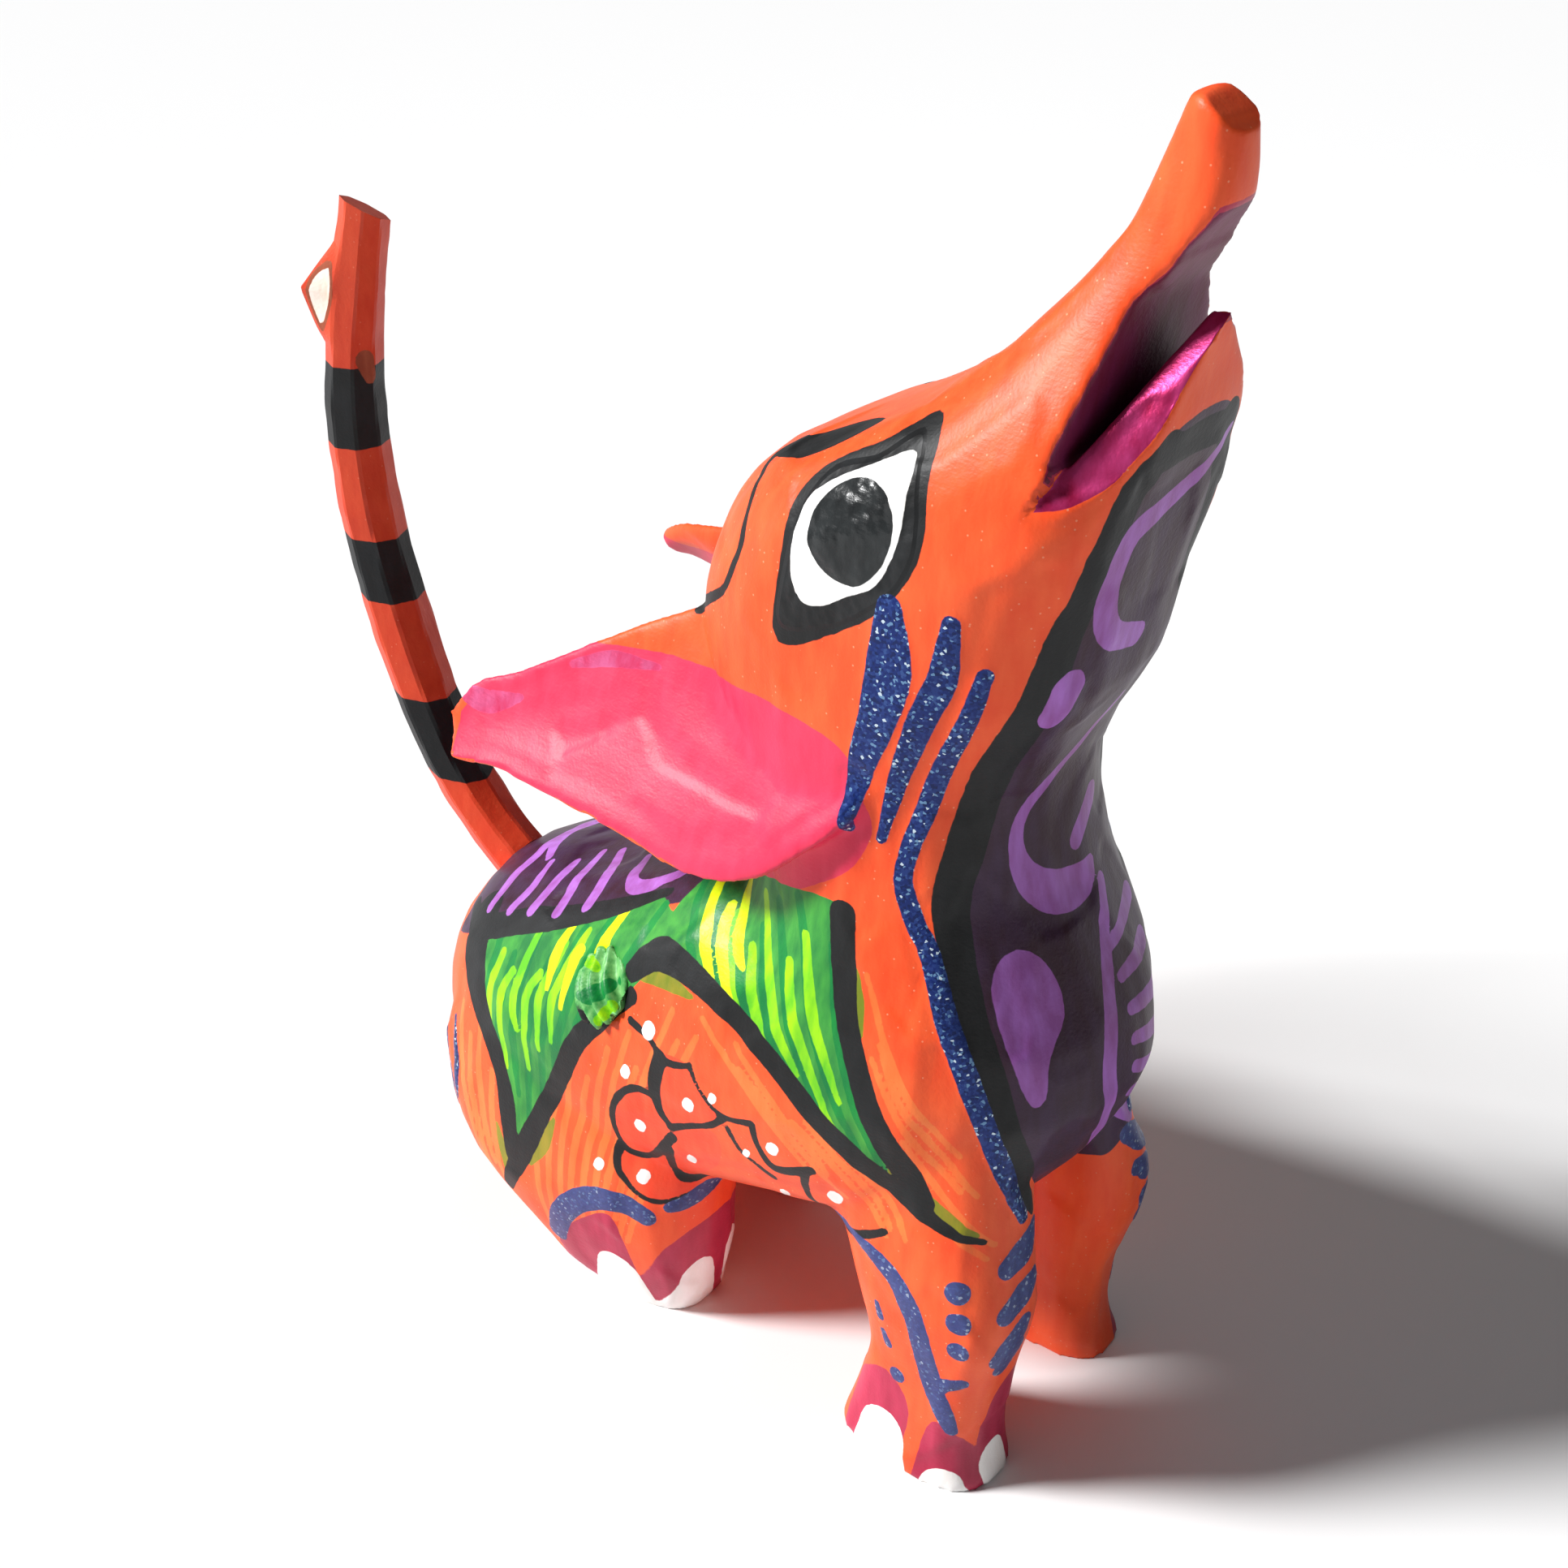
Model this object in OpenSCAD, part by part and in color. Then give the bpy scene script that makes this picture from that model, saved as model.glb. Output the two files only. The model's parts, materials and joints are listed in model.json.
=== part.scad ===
// Small carved coyote, howling, with a separate tail pegged into its rump.
// The coyote faces +X, its right flank is at -Y and its soles stand on z = 0.

/* [Figure] */
// Height of the nose tip above the soles
figure_h = 100; // [80:1:125]
// Width of the barrel of the body
body_w = 30; // [26:0.5:34]
// Width of the skull at the eyes
head_w = 24; // [20:0.5:28]

/* [Legs] */
// Distance between the centre lines of the left and right legs
stance_w = 17.6; // [16:0.1:20]
// Width of each leg above its foot
leg_w = 8; // [7:0.1:9]

/* [Ears] */
// Distance between the tips of the ears
ear_spread = 25; // [20:0.5:28]
// Thickness of each ear at its root
ear_t = 5; // [4:0.25:6]

/* [Tail] */
// Width of the tail stick across its flats
tail_w = 4.8; // [4:0.1:5.6]
// Diameter of the round peg under the tail
peg_d = 2.4; // [2:0.1:2.8]
// Depth of the peg's socket in the rump
socket_depth = 8; // [6:0.5:9]
// Depth of the peg's bore in the tail
tail_bore_depth = 3.2; // [2.5:0.1:3.6]
// Radial clearance of the peg in its bores
peg_clearance = 0.05; // [0.02:0.01:0.1]

/* [Knot] */
// Diameter of the gouged knot on the right flank
knot_d = 8; // [7:0.25:9]
// Height of the filler above the flank
filler_proud = 0.7; // [0.4:0.1:1]

/* [Hidden] */
$fn = 48;

// Lengths along X and Z below are those of a figure 100 high
unit = figure_h / 100;
sides_trunk = 24;
sides_leg = 20;
sides_ear = 20;
sides_tail = 8;
steps = 3;

// Barrel, from the rump to the chest:
// [x, z, slope of the spine, share of body_w, half depth, squareness]
BARREL = [
    [-52.6, 16.5, 6, 0.27, 4.5, 2],
    [-51.6, 16.5, 6, 0.5, 8, 2],
    [-48.5, 17.3, 10, 0.72, 10.6, 2.1],
    [-42, 19, 18, 0.91, 12.4, 2.2],
    [-31, 22.8, 26, 0.99, 13.2, 2.4],
    [-20, 27.6, 34, 1, 14.4, 2.6],
    [-11.5, 31.5, 46, 1, 16, 2.6],
    [-6.8, 37.5, 68, 0.92, 15, 2.4],
];
// Neck, skull and snout, from the neck to the nose:
// [x, z, slope of the spine, share of head_w, half depth, squareness]
HEAD = [
    [-8.8, 47.5, 88, 0.98, 11.2, 2.3],
    [-10.6, 55.5, 92, 0.96, 12.2, 2.4],
    [-10, 62.5, 93, 1, 15.2, 2.5],
    [-8.3, 69, 90, 1, 14.7, 2.6],
    [-5.6, 74, 90, 0.97, 13.4, 2.7],
    [-1.6, 78, 90, 0.86, 10, 2.7],
    [1.8, 82, 90, 0.69, 7.4, 2.8],
    [4.3, 87, 90, 0.45, 4.7, 3],
    [6.2, 91.5, 90, 0.28, 3.2, 3.2],
    [7.3, 96, 90, 0.2, 2.5, 3.2],
    [7.8, 100, 90, 0.16, 1.6, 3.2],
];
// Legs, from the top down:
// [x, share of stance_w, z, half length, share of leg_w, squareness]
FRONT_LEG = [
    [-3, 0.9, 32, 7, 1.1, 2.3],
    [-2.2, 0.92, 24, 7.6, 1.2, 2.6],
    [-0.2, 1, 16.5, 6.8, 1.15, 2.8],
    [0, 1, 10, 5.4, 1, 2.8],
    [-0.8, 1, 4, 5.7, 1, 2.8],
    [-1.2, 1, 0, 6.7, 1.06, 2.8],
];
HIND_LEG = [
    [-36, 0.97, 24, 11, 1.25, 2.3],
    [-35.4, 1, 17, 14, 1.5, 2.6],
    [-35, 1.02, 10, 13.4, 1.55, 2.8],
    [-33, 1.02, 5, 11, 1.35, 2.8],
    [-30.8, 0.98, 0, 7.8, 1.05, 2.8],
];
// Ears: root and tip of the middle line of the left one, and the way its face looks
EAR_ROOT = [-12, 8.2, 60];
// Width of the skull that the ear's root is given for
root_head_w = 24;
ear_tip_x = -44;
left_tip_z = 52.4;
right_tip_z = 47.4;
EAR_FACE = [0.1, 0.83, 0.55];
// [share of the length, reach up to the rim, reach down to the rim, share of ear_t]
EAR = [
    [-0.26, 2, 2, 0.9],
    [-0.14, 5, 6, 1.1],
    [0, 7, 9.8, 1],
    [0.2, 7.4, 11.2, 0.88],
    [0.45, 6.2, 9.4, 0.8],
    [0.7, 4.3, 6, 0.7],
    [0.9, 2.8, 3, 0.58],
    [1, 1.5, 1.5, 0.44],
];
// Outline of the open mouth in the XZ plane: its corner, then around the gap
MOUTH = [[3.4, 77], [5.6, 88.5], [9.4, 94], [14, 96], [14, 88.2], [8.2, 87.8]];
// Middle line of the tail: [x, z, share of tail_w]
TAIL = [
    [-51.2, 26.3, 0.96], [-54.2, 28.5, 0.98], [-57.4, 31.8, 1], [-60.8, 37.4, 1.04],
    [-63.8, 45, 1.06], [-65.8, 52, 1.04], [-66.6, 59, 1], [-66.3, 66, 0.96],
    [-64.8, 73, 0.9], [-63, 79.4, 0.84],
];
// Centre of the ball that hollows the knot: [x, z], and its reach out of the flank's widest plane
KNOT = [-29.1, 32.6];
knot_out = 1;
// The way the knot faces: its turn about Z from +X, and its rise
knot_turn = -105;
knot_rise = 25;
// Height of the ball's centre above the flank
knot_lift = 2.6;

function curve_point(p0, p1, p2, p3, t) =
    0.5 * (2 * p1 + (p2 - p0) * t + (2 * p0 - 5 * p1 + 4 * p2 - p3) * t * t
    + (3 * p1 - p0 - 3 * p2 + p3) * t * t * t);

// Smooth run of stations through the given ones
function smooth_run(list) = [
    for (i = [0 : len(list) - 2], s = [0 : steps - 1])
        curve_point(list[max(i - 1, 0)], list[i], list[i + 1],
            list[min(i + 2, len(list) - 1)], s / steps),
    list[len(list) - 1],
];

// Coordinate on a squared circle, where a power of 2 is a true circle
function squared(c, power) = sign(c) * pow(abs(c), 2 / power);

function unit_vector(v) = v / norm(v);

function trunk_ring(s) = [
    for (i = [0 : sides_trunk - 1])
        let (
            a = 360 * (i + 0.5) / sides_trunk,
            across = s[3] * squared(cos(a), s[5]),
            up = s[4] * squared(sin(a), s[5])
        )
        [s[0] - up * sin(s[2]), across, s[1] + up * cos(s[2])]
];

function leg_ring(s) = [
    for (i = [0 : sides_leg - 1])
        let (a = 360 * (i + 0.5) / sides_leg)
        [s[0] + s[3] * squared(cos(a), s[5]), s[1] - s[4] * squared(sin(a), s[5]), s[2]]
];

// Ring of the left ear, hollowed a little on its face
function ear_ring(s, root, tip) =
    let (
        along = tip - root,
        up = unit_vector(cross(EAR_FACE, along)),
        out = unit_vector(cross(along, up)),
        middle = root + along * s[0]
    )
    [
        for (i = [0 : sides_ear - 1])
            let (
                a = 360 * (i + 0.5) / sides_ear,
                reach = cos(a) > 0 ? s[1] * cos(a) : s[2] * cos(a),
                depth = sin(a) > 0 ? 0.9 * sin(a) - 1.2 * pow(sin(a), 2) : sin(a)
            )
            middle + unit * reach * up + s[3] * depth * out
    ];

// Flats around the middle line of the tail at point i of its route
function tail_ring(route, i) =
    let (
        last = len(route) - 1,
        run = route[min(i + 1, last)] - route[max(i - 1, 0)],
        d = unit_vector([run[0], run[1]]),
        r = route[i][2] / 2 / cos(180 / sides_tail)
    )
    [
        for (k = [0 : sides_tail - 1])
            let (a = 360 * (k + 0.5) / sides_tail)
            [route[i][0] - r * sin(a) * d[1], r * cos(a), route[i][1] + r * sin(a) * d[0]]
    ];

trunk_rings = [
    for (s = smooth_run(concat(
        [for (b = BARREL) [b[0], b[1], b[2], b[3] * body_w / 2, b[4], b[5]]],
        [for (h = HEAD) [h[0], h[1], h[2], h[3] * head_w / 2, h[4], h[5]]]
    )))
        trunk_ring([s[0] * unit, s[1] * unit, s[2], s[3], s[4] * unit, s[5]])
];
tail_route = smooth_run([for (t = TAIL) [t[0] * unit, t[1] * unit, t[2] * tail_w]]);
tail_rings = [for (i = [0 : len(tail_route) - 1]) tail_ring(tail_route, i)];

// The origin is below the middle of the whole figure's box
front_x = max([for (r = trunk_rings, p = r) p[0]]);
back_x = min([for (r = tail_rings, p = r) p[0]]);
origin_x = (front_x + back_x) / 2;

// Closed skin over rings that all have the same number of points
module skin(rings) {
    n = len(rings[0]);
    m = len(rings);
    points = [for (r = rings, p = r) p];
    walls = [
        for (j = [0 : m - 2], i = [0 : n - 1])
            let (a = j * n + i, b = j * n + (i + 1) % n)
            each [[a, a + n, b], [b, a + n, b + n]]
    ];
    ends = [[for (i = [0 : n - 1]) i], [for (i = [n - 1 : -1 : 0]) (m - 1) * n + i]];
    polyhedron(points, concat(ends, walls), convexity = 8);
}

module both_sides() {
    children();
    mirror([0, 1, 0]) children();
}

module leg(stations) {
    skin([
        for (s = smooth_run(stations))
            leg_ring([
                s[0] * unit, s[1] * stance_w / 2, s[2] * unit,
                s[3] * unit, s[4] * leg_w / 2, s[5]
            ])
    ]);
}

module ear(tip_z) {
    root = [EAR_ROOT[0] * unit, EAR_ROOT[1] * head_w / root_head_w, EAR_ROOT[2] * unit];
    tip = [ear_tip_x * unit, ear_spread / 2, tip_z * unit];
    skin([
        for (s = smooth_run(EAR))
            ear_ring([s[0], s[1], s[2], s[3] * ear_t / 2], root, tip)
    ]);
}

module mouth_gap() {
    rotate([90, 0, 0])
    linear_extrude(2 * head_w, center = true)
    polygon(MOUTH * unit);
}

// The whole block as the knife leaves it, to its exact height
module carved_block() {
    resize([0, 0, figure_h], auto = true)
    union() {
        difference() {
            skin(trunk_rings);
            mouth_gap();
        }
        both_sides() {
            leg(FRONT_LEG);
            leg(HIND_LEG);
        }
        ear(left_tip_z);
        mirror([0, 1, 0]) ear(right_tip_z);
    }
}

// Places its children on the tail's seat, with +Z out of the rump along the peg
module on_tail_axis() {
    run = tail_route[1] - tail_route[0];
    translate([tail_route[0][0], 0, tail_route[0][1]])
    rotate([0, atan2(run[0], run[1]), 0])
    children();
}

// Flat seat and drilled socket for the tail
module tail_socket() {
    seat_d = 1.25 * tail_w;
    on_tail_axis() {
        cylinder(d = seat_d, h = tail_w);
        translate([0, 0, -socket_depth])
        cylinder(d = peg_d + 2 * peg_clearance, h = socket_depth + tail_w);
    }
}

// Places its children at the centre of the knot's ball, with +Z out of the flank
module at_knot() {
    translate([KNOT[0] * unit, -body_w / 2 - knot_out, KNOT[1] * unit])
    rotate([0, 90 - knot_rise, knot_turn])
    children();
}

module in_place() {
    translate([-origin_x, 0, 0]) children();
}

module carved_body() {
    color("orangered")
    in_place()
    difference() {
        carved_block();
        tail_socket();
        at_knot()
        sphere(d = knot_d);
    }
}

module tail() {
    color("tomato")
    in_place()
    difference() {
        skin(tail_rings);
        on_tail_axis()
        translate([0, 0, -tail_w])
        cylinder(d = peg_d + 2 * peg_clearance, h = tail_w + tail_bore_depth);
    }
}

module tail_peg() {
    end_gap = 0.3;
    color("burlywood")
    in_place()
    on_tail_axis()
    translate([0, 0, end_gap - socket_depth])
    cylinder(d = peg_d, h = socket_depth + tail_bore_depth - 2 * end_gap);
}

// Lens of filler: the knot's ball below, a low dome above
module knot_filler() {
    dome_d = 1.5 * knot_d;
    color("forestgreen")
    in_place()
    at_knot()
    intersection() {
        sphere(d = knot_d);
        translate([0, 0, filler_proud - knot_lift - dome_d / 2])
        sphere(d = dome_d);
    }
}

carved_body();
tail();
tail_peg();
knot_filler();
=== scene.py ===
"""Howling coyote carved from copal wood and painted in acrylics, with a pegged tail."""

import json
import logging
import math
from collections.abc import Sequence
from dataclasses import dataclass, field
from enum import Enum

import bmesh
import bpy
import numpy as np
from mathutils import Matrix, Vector
from mathutils.bvhtree import BVHTree


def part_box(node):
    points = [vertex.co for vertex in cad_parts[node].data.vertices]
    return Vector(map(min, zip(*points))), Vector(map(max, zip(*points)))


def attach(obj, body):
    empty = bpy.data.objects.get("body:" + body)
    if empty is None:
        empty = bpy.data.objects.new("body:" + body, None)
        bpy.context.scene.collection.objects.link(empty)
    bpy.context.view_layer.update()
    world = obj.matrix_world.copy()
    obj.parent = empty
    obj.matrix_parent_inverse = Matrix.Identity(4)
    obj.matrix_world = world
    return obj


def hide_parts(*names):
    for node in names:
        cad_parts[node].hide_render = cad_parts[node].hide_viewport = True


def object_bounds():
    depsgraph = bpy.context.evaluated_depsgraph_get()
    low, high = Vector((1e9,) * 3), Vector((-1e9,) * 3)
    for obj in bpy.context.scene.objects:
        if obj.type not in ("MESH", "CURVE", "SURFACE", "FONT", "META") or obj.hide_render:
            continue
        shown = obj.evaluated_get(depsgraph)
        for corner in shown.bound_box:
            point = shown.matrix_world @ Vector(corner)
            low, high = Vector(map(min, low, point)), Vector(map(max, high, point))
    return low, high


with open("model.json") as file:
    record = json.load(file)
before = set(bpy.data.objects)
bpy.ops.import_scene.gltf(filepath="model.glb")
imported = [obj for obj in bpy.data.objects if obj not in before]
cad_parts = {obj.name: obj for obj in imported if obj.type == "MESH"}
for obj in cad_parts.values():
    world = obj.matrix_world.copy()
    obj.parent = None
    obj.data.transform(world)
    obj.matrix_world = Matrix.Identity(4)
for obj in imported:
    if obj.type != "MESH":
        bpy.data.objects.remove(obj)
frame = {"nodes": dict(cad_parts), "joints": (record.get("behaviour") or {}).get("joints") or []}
CAD_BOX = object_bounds()
# A millimetre, in the scene's own metres.
MM = 0.001
# What a coat holds where there is no paint: mm inside its edge.
UNPAINTED = -9.0
# More than any distance on the figure, in mm.
FAR = 1e9

Point = tuple[float, ...]


class Side(Enum):
    """Side that a motif is painted from: the way the painter looks, and the axes of its points."""

    RIGHT = ((0, 1, 0), (0, 2))
    LEFT = ((0, -1, 0), (0, 2))
    FRONT = ((-1, 0, 0), (1, 2))
    ROUND = ((0, 0, 0), (0, 1, 2))

    @property
    def look(self) -> np.ndarray:
        """The way the painter looks, as a unit vector."""
        return np.array(self.value[0], float)

    @property
    def axes(self) -> list[int]:
        """Axes of the frame that the motif's points give."""
        return list(self.value[1])


class Part(Enum):
    """Part of the carved block that a patch of paint keeps to."""

    ALL = "all"
    TRUNK = "trunk"
    EARS = "ears"
    LEGS = "legs"


class Paint(Enum):
    """Coats of paint, from the first to the last. Each is a vertex attribute: mm inside its edge."""

    STREAK = "streak"
    SCALE = "scale"
    PURPLE = "purple"
    PINK = "pink"
    CRIMSON = "crimson"
    MOUTH = "mouth"
    LIP = "lip"
    OLIVE = "olive"
    GREEN = "green"
    LEAF = "leaf"
    LIME = "lime"
    YELLOW = "yellow"
    BLACK = "black"
    LILAC = "lilac"
    GLITTER = "glitter"
    WHITE = "white"
    PUPIL = "pupil"
    WORN = "worn"
    BARE = "bare"
    # Painted highlight: pale pink strokes along the ears' upper edges, glossy and half metallic.
    SHEEN = "sheen"
    BLUE = "blue"
    EYE = "eye"


def linear(colour: str) -> tuple[float, float, float, float]:
    """Turns an sRGB hex colour to linear light.

    Args:
        colour: Six hex digits after a hash.

    Returns:
        Red, green, blue and a full alpha.
    """
    parts = [int(colour[i:i + 2], 16) / 255 for i in (1, 3, 5)]
    return tuple(c / 12.92 if c <= 0.04045 else ((c + 0.055) / 1.055) ** 2.4 for c in parts) + (1.0,)


def smooth_line(points: Sequence[Point], spacing: float, closed: bool = False) -> np.ndarray:
    """Runs a smooth curve through points, as a loaded brush does.

    Args:
        points: Points of any dimension, in mm.
        spacing: Distance between samples in mm.
        closed: Whether the curve runs back to its start.

    Returns:
        One row for each sample.
    """
    given = np.array(points, float)
    count = len(given)
    rows = []
    for i in range(count if closed else count - 1):
        if closed:
            p0, p1, p2, p3 = (given[(i + k) % count] for k in (-1, 0, 1, 2))
        else:
            p0, p1, p2, p3 = (given[min(max(i + k, 0), count - 1)] for k in (-1, 0, 1, 2))
        steps = max(2, int(np.linalg.norm(p2[:3] - p1[:3]) / spacing))
        t = (np.arange(steps) / steps)[:, None]
        rows.append(0.5 * (2 * p1 + (p2 - p0) * t + (2 * p0 - 5 * p1 + 4 * p2 - p3) * t ** 2
                           + (3 * p1 - p0 - 3 * p2 + p3) * t ** 3))
    if not closed:
        rows.append(given[-1:])
    return np.vstack(rows)


def inside_distance(places: np.ndarray, outline: np.ndarray) -> np.ndarray:
    """Distance from flat places to a closed outline.

    Args:
        places: Places in mm, one row each.
        outline: Corners of the outline in mm.

    Returns:
        Distance in mm, positive inside the outline.
    """
    nearest = np.full(len(places), FAR)
    inside = np.zeros(len(places), bool)
    for a, b in zip(outline, np.roll(outline, -1, axis=0)):
        run = b - a
        t = np.clip(((places - a) @ run) / max(run @ run, 1e-12), 0, 1)
        nearest = np.minimum(nearest, np.linalg.norm(places - a - t[:, None] * run, axis=1))
        if a[1] != b[1]:
            level = (a[1] > places[:, 1]) != (b[1] > places[:, 1])
            inside ^= level & (places[:, 0] < run[0] * (places[:, 1] - a[1]) / run[1] + a[0])
    return np.where(inside, nearest, -nearest)


def points_of(mesh: bpy.types.Mesh) -> np.ndarray:
    """Takes the points of a mesh.

    Args:
        mesh: The mesh.

    Returns:
        One row for each point, in mm.
    """
    points = np.zeros(len(mesh.vertices) * 3)
    mesh.vertices.foreach_get("co", points)
    return points.reshape(-1, 3) / MM


def move_points(mesh: bpy.types.Mesh, points: np.ndarray) -> None:
    """Moves the points of a mesh to new places in mm."""
    mesh.vertices.foreach_set("co", (points * MM).ravel())
    mesh.update()


def add_piece(name: str, data: bpy.types.ID) -> bpy.types.Object:
    """Adds an object to the scene.

    Args:
        name: Name of the object.
        data: Its mesh, light or camera.

    Returns:
        The new object.
    """
    piece = bpy.data.objects.new(name, data)
    bpy.context.scene.collection.objects.link(piece)
    return piece


def new_material(name: str) -> tuple[bpy.types.Material, bpy.types.NodeTree]:
    """Makes a material with no nodes yet.

    Args:
        name: Name of the material.

    Returns:
        The material and its empty tree.
    """
    material = bpy.data.materials.new(name)
    material.use_nodes = True
    material.node_tree.nodes.clear()
    return material, material.node_tree


def with_modifier(piece: bpy.types.Object) -> bpy.types.Mesh:
    """Works out what a piece's modifiers make of its mesh, and clears them.

    Args:
        piece: The piece.

    Returns:
        The new mesh.
    """
    graph = bpy.context.evaluated_depsgraph_get()
    made = bpy.data.meshes.new_from_object(piece.evaluated_get(graph))
    piece.modifiers.clear()
    return made


def add_node(tree: bpy.types.NodeTree, kind: str, inputs: dict | None = None,
             **settings: object) -> bpy.types.Node:
    """Adds a node with its settings and links.

    Args:
        tree: Tree that the node joins.
        kind: Blender's name of the node type.
        inputs: Values, sockets or nodes for its inputs, by name or number. A node gives its first
            output that is in use.
        settings: Properties of the node.

    Returns:
        The new node.
    """
    node = tree.nodes.new(kind)
    for name, value in settings.items():
        setattr(node, name, value)
    for socket, value in (inputs or {}).items():
        if isinstance(value, bpy.types.Node):
            value = next(output for output in value.outputs if output.enabled)
        if isinstance(value, bpy.types.NodeSocket):
            tree.links.new(value, node.inputs[socket])
        else:
            node.inputs[socket].default_value = value
    return node


@dataclass(frozen=True)
class Stroke:
    """One stroke of a brush: its points with the brush's width at each, in mm."""

    paint: Paint
    side: Side
    points: Sequence[Point]
    widths: Sequence[float]
    mirrored: bool = True


@dataclass(frozen=True)
class Patch:
    """A filled shape of paint: its outline in mm, and the part of the block it keeps to."""

    paint: Paint
    side: Side
    outline: Sequence[Point]
    part: Part = Part.ALL
    depth: tuple[float, float] = (-99, 99)
    facing: float = 0.0
    mirrored: bool = True
    smooth: bool = True


@dataclass
class Canvas:
    """Surface of a mesh that takes strokes and patches of paint."""

    mesh: bpy.types.Mesh
    points: np.ndarray = field(init=False)
    normals: np.ndarray = field(init=False)
    trunk: np.ndarray = field(init=False)
    tree: BVHTree = field(init=False)
    layers: dict[Paint, np.ndarray] = field(init=False)
    # Where the parts of the block meet, in mm: heights, and how far forward the ears' roots lie.
    leg_top: float = 24.0
    below_ears: float = 34.0
    ear_low: float = 38.0
    ear_high: float = 50.0
    ear_root: float = 11.0
    # How close a point lies to the first surface that is met from the middle, if it is the trunk's.
    trunk_skin: float = 0.8
    # The painter stands this far off, and a stroke's coat is measured this far past its edge, in mm.
    painter_off: float = 90.0
    margin: float = 0.8
    # Steps along a stroke and along an outline, and the thinnest stroke, in mm.
    stroke_step: float = 0.2
    outline_step: float = 0.6
    thinnest: float = 0.1
    # Least agreement between the surface under the brush and a point that it paints.
    same_way: float = 0.1
    # Where the surface turns away past the facing that a patch keeps to, its coat is measured this
    # far, and fades by so many mm for each 1 of facing.
    turn_reach: float = 0.3
    turn_fade: float = 3.0
    # A raised coat gains its height over this many mm inwards, from this share of it at the edge.
    shoulder: float = 0.25
    first_rise: float = 0.3

    def __post_init__(self) -> None:
        """Reads the surface, and finds what is met first on the way out from the middle."""
        self.read()
        self.layers = {}
        self.tree = BVHTree.FromPolygons(
            [tuple(p) for p in self.points], [tuple(f.vertices) for f in self.mesh.polygons])
        self.trunk = np.zeros(len(self.points), bool)
        for i, (x, y, z) in enumerate(self.points):
            way = Vector((0, math.copysign(1, y), 0))
            met = self.tree.ray_cast(Vector((x, 0, z)), way)[0]
            self.trunk[i] = met is not None and abs(met.y - y) < self.trunk_skin

    def read(self) -> None:
        """Takes the mesh's points in mm and its normals."""
        self.points = points_of(self.mesh)
        self.normals = np.array([n.vector for n in self.mesh.vertex_normals])

    def layer(self, paint: Paint) -> np.ndarray:
        """The coat of one paint, bare at first."""
        return self.layers.setdefault(paint, np.full(len(self.points), UNPAINTED))

    def on_part(self, part: Part) -> np.ndarray:
        """Finds which points belong to a part of the carved block.

        Args:
            part: The part.

        Returns:
            True for each point of the part.
        """
        height = self.points[:, 2]
        if part is Part.TRUNK:
            return self.trunk | (height < self.below_ears)
        if part is Part.EARS:
            forward = self.points[:, 0] > self.ear_root
            return (~self.trunk | forward | (height > self.ear_high)) & (height > self.ear_low)
        if part is Part.LEGS:
            return height < self.leg_top
        return np.ones(len(self.points), bool)

    def place(self, side: Side, samples: np.ndarray) -> np.ndarray:
        """Finds where the samples of a stroke lie on the surface.

        Args:
            side: Side that the stroke is painted from.
            samples: Samples in mm, in that side's axes.

        Returns:
            Places on the surface in mm.
        """
        if side is Side.ROUND:
            return np.array([self.tree.find_nearest(Vector(p))[0] for p in samples])
        places = np.zeros((len(samples), 3))
        places[:, side.axes] = samples
        for i, start in enumerate(places - self.painter_off * side.look):
            met = self.tree.ray_cast(Vector(start), Vector(side.look))[0]
            places[i] = met if met is not None else self.tree.find_nearest(Vector(places[i]))[0]
        return places

    def sampled(self, stroke: Stroke) -> tuple[np.ndarray, np.ndarray]:
        """Runs the brush along a stroke.

        Args:
            stroke: The stroke.

        Returns:
            Samples in mm in the axes of the stroke's side, and the brush's width at each.
        """
        given = np.array(stroke.points, float)
        widths = np.array(stroke.widths, float)
        if len(widths) != len(given):
            widths = np.interp(np.linspace(0, 1, len(given)), np.linspace(0, 1, len(widths)), widths)
        if len(given) == 1:
            return given, widths[:1]
        run = smooth_line([tuple(p) + (w,) for p, w in zip(given, widths)], self.stroke_step)
        return run[:, :-1], np.maximum(run[:, -1], self.thinnest)

    def stroke(self, stroke: Stroke, flip: bool = False) -> None:
        """Paints one stroke, or its mirror image.

        Args:
            stroke: The stroke.
            flip: Whether it goes on the other side of the figure.
        """
        samples, widths = self.sampled(stroke)
        side = stroke.side
        if flip:
            side, samples = self.flipped(side, samples)
        places = self.place(side, samples)
        coat = self.layer(stroke.paint)
        reach = widths.max() / 2 + self.margin
        low, high = places.min(0) - reach, places.max(0) + reach
        near = np.where(((self.points > low) & (self.points < high)).all(1))[0]
        if not len(near):
            return
        gaps = np.linalg.norm(self.points[near][:, None] - places[None], axis=2)
        inside = widths[None] / 2 - gaps
        closest = inside.argmax(1)
        under = np.array([self.tree.find_nearest(Vector(p))[1] for p in places])
        agree = (self.normals[near] * under[closest]).sum(1) > self.same_way
        values = np.where(agree, inside.max(1), UNPAINTED)
        coat[near] = np.maximum(coat[near], values)

    def flipped(self, side: Side, samples: np.ndarray) -> tuple[Side, np.ndarray]:
        """Turns a side and its samples into their mirror image.

        Args:
            side: The side.
            samples: Samples in mm, in that side's axes.

        Returns:
            The other side, and the samples in its axes.
        """
        samples = samples.copy()
        if side is Side.FRONT:
            samples[:, 0] *= -1
        if side is Side.ROUND:
            samples[:, 1] *= -1
        return (Side.LEFT if side is Side.RIGHT else side), samples

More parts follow.
